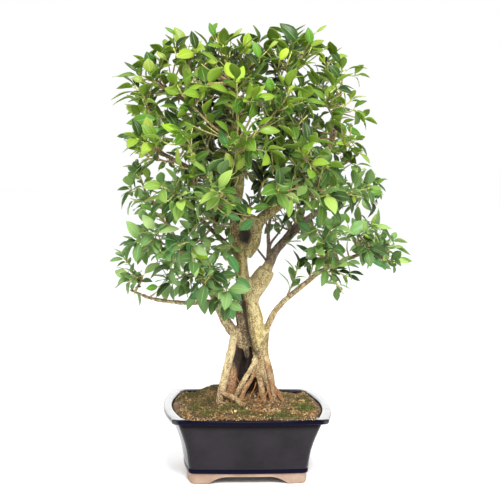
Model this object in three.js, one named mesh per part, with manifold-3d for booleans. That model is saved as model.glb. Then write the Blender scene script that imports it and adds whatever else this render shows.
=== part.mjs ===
// Ficus bonsai with aerial roots, in a glazed rectangular pot
// Millimetres, +Z up. While it is built, the pot's centre is X = Y = 0 and its feet are on Z = 0.
import * as THREE from 'three';
import { mergeVertices } from 'three/addons/utils/BufferGeometryUtils.js';
import Module from 'manifold-3d';

const wasm = await Module();
wasm.setup();

// Driving dimensions of the pot
const RIM_HALF_WIDTH = 120;
const RIM_HALF_DEPTH = 92.5;
const POT_HEIGHT = 110;
const RIM_BAND = 14;
const SIDE_BOW = 13;
const FRONT_BOW = 5;
const CORNER_RADIUS = 9;
const FLOOR_UNDERSIDE = 12;
const FLOOR_TOP = 19;
const FOOT_INSET = 29.5;
const FOOT_WIDTH = 15;
const FRONT_ARCH_HALF = 62;
const SIDE_ARCH_HALF = 38;
const DRAIN_X = 46;
const DRAIN_RADIUS = 9;
const MESH_SIZE = 26;
const MESH_THICKNESS = 1.2;
const MESH_HOLE = 6;

// Driving dimensions of the soil, the bark and the leaves
const CLEARANCE = 0.38;
const SOIL_EDGE = 105;
const MOUND_HEIGHT = 22;
const MOUND_HALF_WIDTH = 65;
const MOUND_HALF_DEPTH = 52;
const LEAF_LENGTH = 33;
const LEAF_LENGTH_SPREAD = 11;
const LEAF_WIDTH_SHARE = 0.5;
const LEAF_THICKNESS = 0.9;
const LEAF_CLEARANCE = 0.6;
const LEAF_TRIES = 30;
const STEM_RADIUS = 2;
const TWIG_RADIUS = 1.35;
const TWIG_TIP_RADIUS = 1;
const TWIG_LENGTH = 38;
const STEM_OVERHANG = 20;
const STEM_SAG = 0.06;
const FORK_SHARE = 0.7;
const FORK_ANGLE = 1.15;
const TWIG_LIFT = 0.12;
const LEAFY_END = 2;
const SIDE_LEAVES = 3;
const SIDE_LEAF_ANGLE = 0.95;
const LEAF_ARCH = 0.12;
const LEAF_ROLL = 0.8;

// Solids from geometry
function solidOf(geometry) {
  const bare = geometry.clone();
  bare.deleteAttribute('normal');
  bare.deleteAttribute('uv');
  const merged = mergeVertices(bare, 1e-4);
  return new wasm.Manifold(new wasm.Mesh({
    numProp: 3,
    vertProperties: new Float32Array(merged.attributes.position.array),
    triVerts: new Uint32Array(merged.index.array),
  }));
}

function geometryOf(solid) {
  const mesh = solid.getMesh();
  const geometry = new THREE.BufferGeometry();
  geometry.setAttribute('position', new THREE.BufferAttribute(mesh.vertProperties.slice(), 3));
  geometry.setIndex(new THREE.BufferAttribute(mesh.triVerts.slice(), 1));
  geometry.computeVertexNormals();
  return geometry;
}

// The largest body of a solid, which drops loose scraps and fills hollows that fusing sealed.
function largestBody(solid) {
  const bodies = solid.decompose();
  bodies.sort((a, b) => b.volume() - a.volume());
  return bodies[0];
}

function joined(solids) {
  return solids.reduce((sum, solid) => sum.add(solid));
}

// A closed surface through rings of points with equal counts, with its first and last ring capped.
// leansBack splits each four-sided face along its other diagonal.
function loft(rings, leansBack = false) {
  const count = rings[0].length;
  const positions = rings.flat(2);
  const index = [];
  for (let k = 0; k < rings.length - 1; k++) {
    for (let i = 0; i < count; i++) {
      const a = k * count + i;
      const b = k * count + (i + 1) % count;
      if (leansBack) {
        index.push(a, b, a + count, b, b + count, a + count);
      } else {
        index.push(a, b, b + count, a, b + count, a + count);
      }
    }
  }
  capRing(positions, index, 0, count, false);
  capRing(positions, index, (rings.length - 1) * count, count, true);
  const geometry = new THREE.BufferGeometry();
  geometry.setAttribute('position', new THREE.Float32BufferAttribute(positions, 3));
  geometry.setIndex(index);
  return geometry;
}

function capRing(positions, index, start, count, forward) {
  for (let i = 1; i < count - 1; i++) {
    index.push(start, start + (forward ? i : i + 1), start + (forward ? i + 1 : i));
  }
}

// A repeatable draw between 0 and 1 from a few whole numbers.
function draw(...keys) {
  let hash = 2166136261;
  for (const key of keys) {
    hash = Math.imul(hash ^ (key + 374761393), 668265263);
    hash ^= hash >>> 15;
  }
  hash = Math.imul(hash ^ (hash >>> 13), 1274126177);
  hash ^= hash >>> 16;
  return (hash >>> 0) / 4294967296;
}

// Pot: a rectangle with bowed sides and rounded corners, lofted up the outside and down the inside
const CORNER_STEPS = 2;
const SIDE_STEPS = 3;

function potRing(inset, z, bowShare = 1) {
  const x = RIM_HALF_WIDTH - inset - CORNER_RADIUS;
  const y = RIM_HALF_DEPTH - inset - CORNER_RADIUS;
  const corners = [[x, y], [-x, y], [-x, -y], [x, -y]];
  const bows = [FRONT_BOW, SIDE_BOW, FRONT_BOW, SIDE_BOW];
  const ring = [];
  corners.forEach(([cx, cy], k) => {
    for (let i = 0; i <= CORNER_STEPS; i++) {
      const angle = (k + i / CORNER_STEPS) * Math.PI / 2;
      ring.push([cx + CORNER_RADIUS * Math.cos(angle), cy + CORNER_RADIUS * Math.sin(angle), z]);
    }
    const [nx, ny] = corners[(k + 1) % 4];
    const outward = (k + 1) * Math.PI / 2;
    for (let i = 1; i < SIDE_STEPS; i++) {
      const t = i / SIDE_STEPS;
      const push = CORNER_RADIUS + bows[k] * bowShare * 4 * t * (1 - t);
      ring.push([
        cx + (nx - cx) * t + push * Math.cos(outward),
        cy + (ny - cy) * t + push * Math.sin(outward),
        z,
      ]);
    }
  });
  return ring;
}

// Outer wall from the feet to the rim, as inset from the rim's corners, height and share of the bow
const OUTER_WALL = [
  [FOOT_INSET + 1.5, 0, 0.5],
  [FOOT_INSET, 2, 0.5],
  [FOOT_INSET, 16, 0.5],
  [26.8, 17.5, 0.5],
  [26.8, 24.5, 0.5],
  [24.5, 46, 0.6],
  [18, 73, 0.75],
  [11, 95, 1],
  [9, 101.5, 1],
  [0.5, 103, 1],
  [0, 107.5, 1],
  [1.8, POT_HEIGHT, 1],
];

// Inner wall from the rim down to the floor
const INNER_WALL = [
  [RIM_BAND - 1, POT_HEIGHT, 1],
  [RIM_BAND, POT_HEIGHT - 2, 1],
  [RIM_BAND + 2, 99, 1],
  [RIM_BAND + 14, 60, 0.7],
  [RIM_BAND + 24, FLOOR_TOP, 0.5],
];

function archCutter(halfWidth, height) {
  const shape = new THREE.Shape();
  shape.moveTo(-halfWidth, -1);
  shape.lineTo(-halfWidth, 1);
  shape.quadraticCurveTo(-halfWidth * 0.78, height - 1, -halfWidth * 0.56, height);
  shape.lineTo(halfWidth * 0.56, height);
  shape.quadraticCurveTo(halfWidth * 0.78, height - 1, halfWidth, 1);
  shape.lineTo(halfWidth, -1);
  const length = 2.4 * RIM_HALF_WIDTH;
  const options = { depth: length, bevelEnabled: false, curveSegments: 3 };
  const geometry = new THREE.ExtrudeGeometry(shape, options);
  geometry.translate(0, 0, -length / 2);
  geometry.rotateX(Math.PI / 2);
  return geometry;
}

function drainCylinder(side, radius) {
  const geometry = new THREE.CylinderGeometry(radius, radius, 30, 8);
  geometry.rotateX(Math.PI / 2);
  geometry.translate(side * DRAIN_X, 0, FLOOR_TOP);
  return solidOf(geometry);
}

function makePot() {
  const wall = [...OUTER_WALL, ...INNER_WALL].map(([inset, z, bow]) => potRing(inset, z, bow));
  const footInside = FOOT_INSET + FOOT_WIDTH;
  const hollow = [[footInside, -1, 0.5], [footInside, FLOOR_UNDERSIDE, 0.5]];
  const sideArch = archCutter(SIDE_ARCH_HALF, FLOOR_UNDERSIDE).rotateZ(Math.PI / 2);
  return solidOf(loft(wall))
    .subtract(solidOf(loft(hollow.map(([inset, z, bow]) => potRing(inset, z, bow)))))
    .subtract(solidOf(archCutter(FRONT_ARCH_HALF, FLOOR_UNDERSIDE)))
    .subtract(solidOf(sideArch))
    .subtract(drainCylinder(-1, DRAIN_RADIUS))
    .subtract(drainCylinder(1, DRAIN_RADIUS));
}

// Drain mesh: a small plate with four holes over each drain hole
function drainPlate(side, size, thickness) {
  const geometry = new THREE.BoxGeometry(size, size, thickness);
  geometry.translate(side * DRAIN_X, 0, FLOOR_TOP + CLEARANCE + MESH_THICKNESS / 2);
  return solidOf(geometry);
}

function makeDrainMesh(side) {
  let plate = drainPlate(side, MESH_SIZE, MESH_THICKNESS);
  for (const [i, j] of [[-1, -1], [-1, 1], [1, -1], [1, 1]]) {
    const hole = new THREE.BoxGeometry(MESH_HOLE, MESH_HOLE, 10);
    hole.translate(side * DRAIN_X + i * MESH_HOLE * 0.7, j * MESH_HOLE * 0.7, FLOOR_TOP);
    plate = plate.subtract(solidOf(hole));
  }
  return plate;
}

// Soil: fills the pot and rises in a flat-topped mound round the roots
const SOIL_BUMPS = [
  { x: -60, y: 44, radius: 24, height: 9 },
  { x: -84, y: -32, radius: 20, height: 3 },
  { x: -22, y: -58, radius: 18, height: 3.5 },
  { x: 84, y: -24, radius: 22, height: 3 },
  { x: 60, y: 52, radius: 20, height: 3 },
];

function soilHeight(x, y) {
  const spread = Math.hypot(x / MOUND_HALF_WIDTH, y / MOUND_HALF_DEPTH);
  let z = SOIL_EDGE + MOUND_HEIGHT / (1 + spread ** 4);
  for (const bump of SOIL_BUMPS) {
    const away = Math.hypot(x - bump.x, y - bump.y) / bump.radius;
    z += bump.height * Math.exp(-away * away);
  }
  return z + 0.8 * Math.sin(x / 9 + y / 14) * Math.cos(y / 8 - x / 17);
}

const SOIL_RINGS = [1, 0.72, 0.4];

function makeSoil(rootHoles) {
  const walls = INNER_WALL.slice(2).reverse().map(([inset, z, bow]) => {
    const lift = z === FLOOR_TOP ? CLEARANCE : 0;
    return potRing(inset + CLEARANCE + 0.1, z + lift, bow);
  });
  const edge = walls.pop();
  const top = SOIL_RINGS.map((share) => edge.map(([x, y]) => (
    [x * share, y * share, soilHeight(x * share, y * share)]
  )));
  const lid = top[0].map(([x, y, z]) => [x, y, Math.min(z, POT_HEIGHT - 2)]);
  let soil = solidOf(loft([...walls, edge, lid, ...top.slice(1)], true));
  for (const side of [-1, 1]) {
    soil = soil.subtract(drainPlate(side, MESH_SIZE + 2 * CLEARANCE, MESH_THICKNESS + 2 * CLEARANCE));
  }
  return soil.subtract(rootHoles);
}

// Wood: each limb is a list of places with the bark's radius there
const LIMBS = {
  trunkRight: {
    sides: 8,
    flute: 0.07,
    points: [[29, 2, 80, 10], [27, 1, 118, 10], [24, -1, 158, 9.5], [19, -5, 190, 9.5],
      [15, -7, 208, 10.5], [11.5, -8, 230, 12.5], [9, -8, 252, 13.2], [4.5, -7, 275, 10.5],
      [7, -5, 288, 12], [13, -2, 302, 14.5], [20, 0, 314, 14.5], [27, 0, 327, 12.5]],
  },
  trunkUp: {
    sides: 8,
    flute: 0.09,
    points: [[3, -3, 284, 10], [-8, 1, 304, 10.5], [-13, 4, 330, 10.5], [-16, 5, 357, 10.5],
      [-23, 5, 384, 9], [-24, 5, 428, 9], [-20, 5, 452, 8.5], [-18, 5, 484, 7.5], [-23, 8, 524, 6.4],
      [-32, 9, 570, 5.2], [-31, 4, 636, 3.2]],
  },
  brownColumn: {
    sides: 6,
    flute: 0.1,
    points: [[-16, -2, 304, 8], [-16, -3, 274, 8], [-14, -4, 255, 7], [-10, -5, 236, 7],
      [-7, -6, 216, 6.5], [-3, -6, 199, 4.5], [-2, -6, 186, 2.5]],
  },
  leftFlange: {
    sides: 4,
    points: [[-6, -1, 284, 4], [-5, -5, 255, 4], [1, -8, 231, 4], [8, -12, 204, 4], [14, -15, 178, 4]],
  },
  hollowCollar: {
    sides: 6,
    flute: 0.06,
    points: [[-6, 0, 350, 9], [7, -3, 368, 8.5], [10, -3, 392, 8.5], [19, -2, 409, 8.5], [54, 5, 437, 7.5],
      [80, 10, 457, 6.5], [104, 14, 482, 5.6], [122, 16, 517, 4.8], [134, 14, 557, 3.8],
      [138, 10, 598, 2.8]],
  },
  collarTop: { sides: 5, points: [[-22, 2, 403, 6], [-6, -1, 406, 6.5], [14, -2, 404, 6]] },
  collarBack: { sides: 5, points: [[-5, 9, 352, 8], [-3, 10, 378, 8], [-5, 8, 404, 8]] },
  leftLimb: {
    sides: 6,
    flute: 0.06,
    points: [[-9, -5, 204, 5], [-18, -8, 219, 7.5], [-29, -8, 235, 8.5], [-40, -8, 251, 7.5],
      [-57, -12, 286, 6], [-85, -16, 328, 4.2], [-104, -20, 356, 3.4], [-124, -14, 388, 2.6],
      [-136, -6, 420, 2]],
  },
  leftTwist: {
    sides: 4,
    points: [[-52, -11, 272, 4], [-66, -6, 276, 3.6], [-96, -10, 274, 3.2], [-149, -18, 281, 2.5],
      [-186, -22, 296, 1.8]],
  },
  rightBranch: {
    sides: 5,
    points: [[28, -5, 214, 5], [28, -7, 231, 5.2], [46, -8, 268, 4.4], [92, -12, 311, 3.6],
      [124, -14, 334, 3.2], [205, -18, 368, 2.2]],
  },
  greyBranch: {
    sides: 6,
    points: [[25, 0, 322, 9], [33, 2, 340, 7.5], [45, 5, 361, 6.5], [77, 15, 392, 5.5],
      [100, 20, 412, 4.8], [134, 25, 430, 4], [186, 20, 456, 2.2]],
  },
  greyUpright: {
    sides: 4,
    points: [[29, 2, 336, 4], [30, 4, 362, 3], [29, 5, 390, 2.6], [36, 8, 430, 2]],
  },
  greyBack: { sides: 5, points: [[54, 9, 373, 4.6], [92, 88, 405, 3.2], [100, 118, 420, 2.3]] },
  lowBack: { sides: 5, points: [[-12, 6, 342, 5], [-60, 66, 384, 3.4], [-84, 92, 404, 2.4]] },
  lowFront: { sides: 5, points: [[-21, 3, 412, 5], [-66, -60, 438, 3.2], [-88, -92, 446, 2.2]] },
  leftMiddle: { sides: 5, points: [[-22, 5, 440, 6], [-80, -8, 474, 4.4], [-142, -16, 508, 2.4]] },
  leftHigh: { sides: 5, points: [[-24, 8, 532, 5], [-80, 21, 572, 3.7], [-130, 16, 604, 2.3]] },
  backMiddle: { sides: 5, points: [[-20, 6, 466, 5.6], [-30, 60, 487, 4.4], [-40, 118, 520, 2.6]] },
  frontMiddle: { sides: 5, points: [[-18, 4, 486, 5.6], [-24, -54, 502, 4.4], [-32, -112, 524, 2.6]] },
  rightFront: { sides: 5, points: [[50, 4, 434, 5.6], [76, -56, 452, 4.3], [88, -102, 470, 2.8]] },
  rightMiddle: { sides: 5, points: [[102, 14, 480, 5], [136, 6, 491, 3.8], [166, -8, 512, 2.2]] },
  rightBack: { sides: 5, points: [[56, 6, 438, 5.2], [84, 64, 465, 4.2], [102, 112, 494, 2.6]] },
  crownRight: { sides: 5, points: [[-29, 10, 556, 4.8], [16, 2, 594, 3.7], [66, 0, 638, 2.4]] },
  crownFront: { sides: 4, points: [[-32, 10, 574, 4], [-32, -28, 596, 3.2], [-36, -58, 614, 2.4]] },
  crownBack: { sides: 4, points: [[-33, 8, 592, 3.8], [-20, 44, 608, 3], [-8, 74, 622, 2.2]] },
};

// Roots run about 35 mm down into the soil
const ROOTS = {
  backColumn: { sides: 5, points: [[0, 6, 298, 8], [2, 10, 240, 8], [3, 14, 180, 9.5], [4, 20, 90, 9]] },
  rightEdge: {
    sides: 6,
    points: [[27, -3, 236, 5.5], [26, -5, 212, 6], [26, -6, 190, 7], [30, -5, 170, 8.5],
      [34, -4, 152, 8.5], [38, -4, 132, 8], [44, -5, 88, 7]],
  },
  frontEdge: {
    sides: 5,
    points: [[24, -12, 190, 6], [28, -15, 166, 6], [33, -17, 146, 6], [38, -19, 126, 5.5],
      [42, -22, 90, 4.5]],
  },
  backEdge: { sides: 5, points: [[30, 8, 160, 8], [38, 16, 130, 9], [44, 20, 88, 7.5]] },
  back: { sides: 5, points: [[12, 16, 172, 9], [8, 26, 126, 11], [6, 30, 88, 9]] },
  leftBack: {
    sides: 5,
    points: [[-4, 4, 222, 9], [-16, 13, 180, 10.5], [-30, 18, 124, 13], [-34, 20, 86, 10]],
  },
  leftRed: {
    sides: 5,
    points: [[-18, 1, 176, 6], [-24, -6, 152, 8.5], [-30, -9, 118, 8.5], [-33, -10, 88, 8]],
  },
  leftAerial: {
    sides: 6,
    points: [[-24, -14, 224, 6], [-28, -20, 199, 6], [-33, -21, 178, 5.8], [-38, -22, 155, 6],
      [-43, -23, 130, 6], [-50, -24, 90, 4.5]],
  },
  diagonal: {
    sides: 5,
    points: [[26, -12, 230, 3.4], [20, -18, 214, 3.8], [14, -21, 198, 4.2], [5, -23, 179, 4.2],
      [-4, -24, 160, 4], [-14, -25, 140, 4], [-24, -28, 96, 3]],
  },
  diagonalTwin: {
    sides: 4,
    points: [[17, -20, 184, 3.6], [7, -28, 167, 3.8], [-3, -29, 148, 3.8], [-12, -31, 129, 3.6],
      [-20, -33, 94, 3]],
  },
  middleThin: {
    sides: 4,
    points: [[14, -15, 186, 4.8], [16, -19, 166, 5], [20, -22, 145, 5.2], [24, -26, 124, 5],
      [29, -32, 90, 4]],
  },
  frontFlat: {
    sides: 4,
    points: [[-42, -26, 136, 4], [-26, -36, 130, 4.4], [-14, -42, 123, 4.4], [-2, -52, 102, 3.4]],
  },
  rightFlat: { sides: 4, points: [[38, -4, 140, 6], [50, -8, 124, 5], [64, -12, 98, 3.6]] },
};

// Rings of points round a branch, with an optional fluted bark.
function branchRings({ points, sides, flute = 0 }, grow = 0, stretch = 0) {
  const places = points.map(([x, y, z]) => new THREE.Vector3(x, y, z));
  const last = places.length - 1;
  if (stretch > 0) {
    places[0].addScaledVector(places[0].clone().sub(places[1]).normalize(), stretch);
    places[last].addScaledVector(places[last].clone().sub(places[last - 1]).normalize(), stretch);
  }
  let across = new THREE.Vector3(0.31, -0.95, 0.05);
  return places.map((place, k) => {
    const along = places[Math.min(k + 1, last)].clone().sub(places[Math.max(k - 1, 0)]).normalize();
    across = across.clone().addScaledVector(along, -across.dot(along)).normalize();
    const side = along.clone().cross(across);
    return Array.from({ length: sides }, (_, i) => {
      const angle = 2 * Math.PI * i / sides;
      const radius = points[k][3] * (1 + flute * Math.sin(3 * angle + k * 0.9)) + grow;
      return place.clone()
        .addScaledVector(across, radius * Math.cos(angle))
        .addScaledVector(side, radius * Math.sin(angle));
    });
  });
}

function branchSolid(branch, grow = 0, stretch = 0) {
  const rings = branchRings(branch, grow, stretch);
  return solidOf(loft(rings.map((ring) => ring.map((point) => point.toArray()))));
}

function makeWood(grow = 0, stretch = 0) {
  const parts = [...Object.values(LIMBS), ...Object.values(ROOTS)];
  return joined(parts.map((part) => branchSolid(part, grow, stretch)));
}

// Sprays: the middle of each leafy stem, by region of the canopy
const REGIONS = {
  crown: [[-152, 0, 622], [-112, -52, 640], [-64, 50, 652], [-46, -48, 644], [4, 12, 656], [44, -56, 638],
    [70, 30, 660], [110, -14, 640], [-92, 98, 608], [14, 108, 616], [100, 84, 604]],
  upper: [[-166, -18, 590], [-162, 64, 566], [-106, -104, 586], [-32, -118, 592], [34, -126, 584],
    [100, -82, 590], [140, 14, 580], [-30, 148, 560], [60, 142, 562]],
  middle: [[-156, -64, 516], [-156, 46, 502], [-98, -134, 520], [-20, -150, 520], [58, -144, 514],
    [130, -64, 520], [136, 66, 520], [-92, 128, 506], [0, 162, 486], [88, 132, 488]],
  skirt: [[-166, -14, 446], [-122, -108, 454], [-52, -152, 452], [20, -146, 454], [84, -124, 448],
    [150, -72, 456], [176, 14, 462], [-120, 96, 440], [132, 92, 442], [-36, 126, 428]],
  left: [[-152, -72, 378], [-162, 22, 366], [-96, -92, 378], [-166, -36, 320], [-104, -44, 322],
    [-62, -76, 330], [-86, 72, 358], [-36, -56, 300]],
  right: [[94, -74, 372], [160, -54, 398], [192, 26, 372], [126, 88, 380], [202, -28, 348],
    [128, -34, 330]],
};

const SPRAY_LIMBS = ['trunkUp', 'hollowCollar', 'leftLimb', 'leftTwist', 'rightBranch', 'greyBranch',
  'greyUpright', 'greyBack', 'lowBack', 'lowFront', 'leftMiddle', 'leftHigh', 'backMiddle',
  'frontMiddle', 'rightFront', 'rightMiddle', 'rightBack', 'crownRight', 'crownFront', 'crownBack'];
const LIMB_SAMPLES = 5;
const STEM_SPACING = 12;
const LOWEST_SPRAY_JOINT = 262;
const HEART = new THREE.Vector3(-10, 0, 440);
const UP = new THREE.Vector3(0, 0, 1);

// The place on the limbs where a stem to the given middle starts, favouring a rising stem and
// keeping away from the stems that start before it.
function stemStart(middle, earlier) {
  let best = null;
  let least = Infinity;
  for (const name of SPRAY_LIMBS) {
    const { points } = LIMBS[name];
    for (let k = 0; k < points.length - 1; k++) {
      for (let i = 0; i <= LIMB_SAMPLES; i++) {
        const t = i / LIMB_SAMPLES;
        const place = new THREE.Vector3(...points[k]).lerp(new THREE.Vector3(...points[k + 1]), t);
        const cost = place.distanceTo(middle) + 0.6 * Math.max(0, place.z - middle.z + 10);
        const free = earlier.every((start) => start.distanceTo(place) > STEM_SPACING);
        if (free && place.z > LOWEST_SPRAY_JOINT && cost < least) {
          least = cost;
          best = place;
        }
      }
    }
  }
  return best;
}

// The way a spray points: out from the heart of the canopy, and a little up.
function outwardFrom(middle) {
  const out = middle.clone().sub(HEART);
  out.z = out.z * 0.75 + 30;
  return out.normalize();
}

function acrossFrom(axis) {
  const side = new THREE.Vector3().crossVectors(UP, axis);
  if (side.length() < 0.2) {
    side.set(1, 0, 0).addScaledVector(axis, -axis.x);
  }
  return side.normalize();
}

// A direction that leaves an axis at an angle, turned round it.
function leaving(axis, angle, turn) {
  const side = acrossFrom(axis);
  const over = axis.clone().cross(side);
  return axis.clone().multiplyScalar(Math.cos(angle))
    .addScaledVector(side, Math.sin(angle) * Math.cos(turn))
    .addScaledVector(over, Math.sin(angle) * Math.sin(turn))
    .normalize();
}

// A twig whose last short stretch carries leaves: one on its end and others on its side faces.
function planTwig(places) {
  const points = places.map(([place, radius]) => [...place.toArray(), radius]);
  const rings = branchRings({ points, sides: 3 });
  const [before, end] = rings.slice(-2);
  const axis = middleOf(end).sub(middleOf(before)).normalize();
  const slots = [{ base: middleOf(end), axis, outward: null }];
  for (let face = 0; face < SIDE_LEAVES; face++) {
    const next = (face + 1) % 3;
    const base = middleOf([before[face], before[next], end[face], end[next]]);
    const outward = base.clone().sub(middleOf([...before, ...end])).normalize();
    slots.push({ base, axis, outward, face });
  }
  return { rings, slots };
}

function middleOf(points) {
  return points.reduce((sum, point) => sum.add(point), new THREE.Vector3()).divideScalar(points.length);
}

// A spray's stem and its side twig, with a slot for each leaf.
function planSpray(spray, middle, earlier) {
  const start = stemStart(middle, earlier);
  earlier.push(start);
  const axis = outwardFrom(middle);
  const sag = new THREE.Vector3(0, 0, -STEM_SAG * start.distanceTo(middle));
  const half = start.clone().lerp(middle, 0.5).add(sag);
  const end = middle.clone().addScaledVector(axis, STEM_OVERHANG);
  const fork = half.clone().lerp(middle, FORK_SHARE);
  const way = leaving(axis, FORK_ANGLE, 2 * Math.PI * draw(spray, 1));
  way.addScaledVector(UP, TWIG_LIFT).normalize();
  const length = TWIG_LENGTH * (0.85 + 0.3 * draw(spray, 2));
  const twigEnd = fork.clone().addScaledVector(way, length);
  const twigs = [
    planTwig([
      [start, STEM_RADIUS],
      [half, STEM_RADIUS * 0.9],
      [middle, TWIG_RADIUS],
      [end.clone().addScaledVector(axis, -LEAFY_END), TWIG_TIP_RADIUS],
      [end, TWIG_TIP_RADIUS],
    ]),
    planTwig([
      [fork, TWIG_RADIUS],
      [twigEnd.clone().addScaledVector(way, -LEAFY_END), TWIG_TIP_RADIUS],
      [twigEnd, TWIG_TIP_RADIUS],
    ]),
  ];
  return { twigs, slots: twigs.flatMap((twig) => twig.slots) };
}

// A leaf's place and shape, for one try at one slot of a spray.
function planLeaf(spray, number, slot, trial) {
  const { base, axis, outward } = slot;
  const loose = 0.3 + 0.04 * trial;
  const swing = (channel) => 2 * draw(spray, 10 + number, trial, channel) - 1;
  const forward = axis.clone();
  if (outward) {
    const angle = SIDE_LEAF_ANGLE + 0.9 * loose * swing(1);
    const aside = outward.clone().applyAxisAngle(axis, 1.6 * loose * swing(2));
    forward.multiplyScalar(Math.cos(angle)).addScaledVector(aside, Math.sin(angle));
  } else {
    forward.copy(leaving(axis, loose * Math.abs(swing(1)), Math.PI * swing(2)));
  }
  forward.addScaledVector(UP, 0.15 * swing(3)).normalize();
  const hint = UP.clone().addScaledVector(axis, 0.6);
  const up = hint.addScaledVector(forward, -hint.dot(forward));
  if (up.length() < 0.25) {
    up.copy(acrossFrom(forward));
  }
  const face = up.normalize().applyAxisAngle(forward, LEAF_ROLL * swing(4));
  const length = LEAF_LENGTH + LEAF_LENGTH_SPREAD * draw(spray, 10 + number, 77);
  return { base, forward, face, length, width: length * LEAF_WIDTH_SHARE };
}

// Rows across a blade, as shares of its length, of its half width and of its arch
const BLADE_ROWS = [
  { along: 0.42, half: 1, drop: -0.5 },
  { along: 0.74, half: 0.8, drop: 0.2 },
  { along: 1, half: 0, drop: 1 },
];

// Four corners of a blade's section, anticlockwise as seen from its tip.
function bladeSection({ base, forward, face, length, width }, { along, half, drop }, grow) {
  const side = face.clone().cross(forward);
  const thick = LEAF_THICKNESS / 2 + grow;
  const corner = (out, lift) => base.clone()
    .addScaledVector(forward, along * length + (half === 0 ? grow : 0))
    .addScaledVector(side, out * (half * width / 2 + (half === 0 ? 0 : grow)))
    .addScaledVector(face, lift * thick - drop * LEAF_ARCH * length);
  return [corner(-1, -1), corner(1, -1), corner(1, 1), corner(-1, 1)];
}

// Surfaces are built as lists of points and of the triangles between them
function addLoop(surface, points) {
  return points.map((point) => surface.points.push(point.toArray()) - 1);
}

function addFaces(surface, lower, upper) {
  lower.forEach((a, i) => {
    const j = (i + 1) % lower.length;
    addFace(surface, a, lower[j], upper[j], upper[i]);
  });
}

function addFace(surface, a, b, c, d) {
  if (a !== b) {
    surface.index.push(a, b, c);
  }
  if (c !== d) {
    surface.index.push(a, c, d);
  }
}

function surfaceSolid({ points, index }) {
  const geometry = new THREE.BufferGeometry();
  geometry.setAttribute('position', new THREE.Float32BufferAttribute(points.flat(), 3));
  geometry.setIndex(index);
  return solidOf(geometry);
}

// A blade that grows out of a loop of root corners.
function addBlade(surface, root, leaf, grow = 0) {
  const [first, second, tip] = BLADE_ROWS.map((row) => bladeSection(leaf, row, grow));
  const rows = [addLoop(surface, first), addLoop(surface, second)];
  const [low, high] = addLoop(surface, [tip[0], tip[3]]);
  addFaces(surface, matchRoot(surface, root, leaf, first), rows[0]);
  addFaces(surface, rows[0], rows[1]);
  addFaces(surface, rows[1], [low, low, high, high]);
}

// The root's corners in the order that twists least on the way to the blade's first section.
function matchRoot(surface, root, leaf, section) {
  const places = root.map((k) => new THREE.Vector3(...surface.points[k]));
  const centre = middleOf(places);
  if (root.length === 3) {
    const depths = places.map((place) => place.clone().sub(centre).dot(leaf.face));
    const lowest = depths.indexOf(Math.min(...depths));
    return [root[lowest], root[lowest], root[(lowest + 1) % 3], root[(lowest + 2) % 3]];
  }
  const far = middleOf(section);
  const fits = root.map((_, turn) => section.reduce((sum, corner, i) => {
    const rootCorner = places[(i + turn) % 4].clone().sub(centre).normalize();
    return sum + rootCorner.dot(corner.clone().sub(far).normalize());
  }, 0));
  const best = fits.indexOf(Math.max(...fits));
  return root.map((_, i) => root[(i + best) % 4]);
}

// The blade by itself from a share of its length outward, to test what it would meet.
function testBlade(leaf, grow, from) {
  const surface = { points: [], index: [] };
  const start = { along: from, half: from / BLADE_ROWS[0].along, drop: -0.2 };
  const root = addLoop(surface, bladeSection(leaf, start, grow));
  addFace(surface, ...[...root].reverse());
  addBlade(surface, root, leaf, grow);
  return surfaceSolid(surface);
}

// A twig with the leaves that found room on it, as one closed surface.
function twigSurface({ rings, slots }) {
  const surface = { points: [], index: [] };
  const loops = rings.map((ring) => addLoop(surface, ring));
  surface.index.push(...[...loops[0]].reverse());
  const leafOn = (face) => slots.find((slot) => slot.leaf && slot.face === face)?.leaf;
  for (let k = 0; k < loops.length - 1; k++) {
    for (let i = 0; i < 3; i++) {
      const j = (i + 1) % 3;
      const corners = [loops[k][i], loops[k][j], loops[k + 1][j], loops[k + 1][i]];
      const leaf = k === loops.length - 2 ? leafOn(i) : null;
      if (leaf) {
        addBlade(surface, corners, leaf);
      } else {
        addFace(surface, ...corners);
      }
    }
  }
  const endLeaf = leafOn(undefined);
  if (endLeaf) {
    addBlade(surface, loops.at(-1), endLeaf);
  } else {
    surface.index.push(...loops.at(-1));
  }
  return surface;
}

function pierces(from, to, [a, b, c]) {
  const ray = new THREE.Ray(from, to.clone().sub(from).normalize());
  const hit = ray.intersectTriangle(a, b, c, false, new THREE.Vector3());
  return hit !== null && hit.distanceTo(from) < from.distanceTo(to);
}

// Whether any two triangles of a surface that share no point pass through each other.
function crossesItself({ points, index }) {
  const faces = [];
  for (let i = 0; i < index.length; i += 3) {
    const keys = index.slice(i, i + 3);
    const corners = keys.map((key) => new THREE.Vector3(...points[key]));
    faces.push({ keys, corners, box: new THREE.Box3().setFromPoints(corners) });
  }
  return faces.some((face, i) => faces.slice(i + 1).some((other) => (
    face.box.intersectsBox(other.box)
    && !face.keys.some((key) => other.keys.includes(key))
    && [0, 1, 2].some((k) => (
      pierces(face.corners[k], face.corners[(k + 1) % 3], other.corners)
      || pierces(other.corners[k], other.corners[(k + 1) % 3], face.corners)
    ))
  )));
}

// Whether a solid meets any of the others, by box first and then exactly.
function meetsAny(solid, others) {
  const box = solid.boundingBox();
  return others.some((other) => {
    const apart = [0, 1, 2].some((axis) => (
      box.min[axis] > other.box.max[axis] || box.max[axis] < other.box.min[axis]
    ));
    return !apart && solid.intersect(other.solid).volume() > 1e-4;
  });
}

function boxed(solid) {
  return { solid, box: solid.boundingBox() };
}

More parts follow.
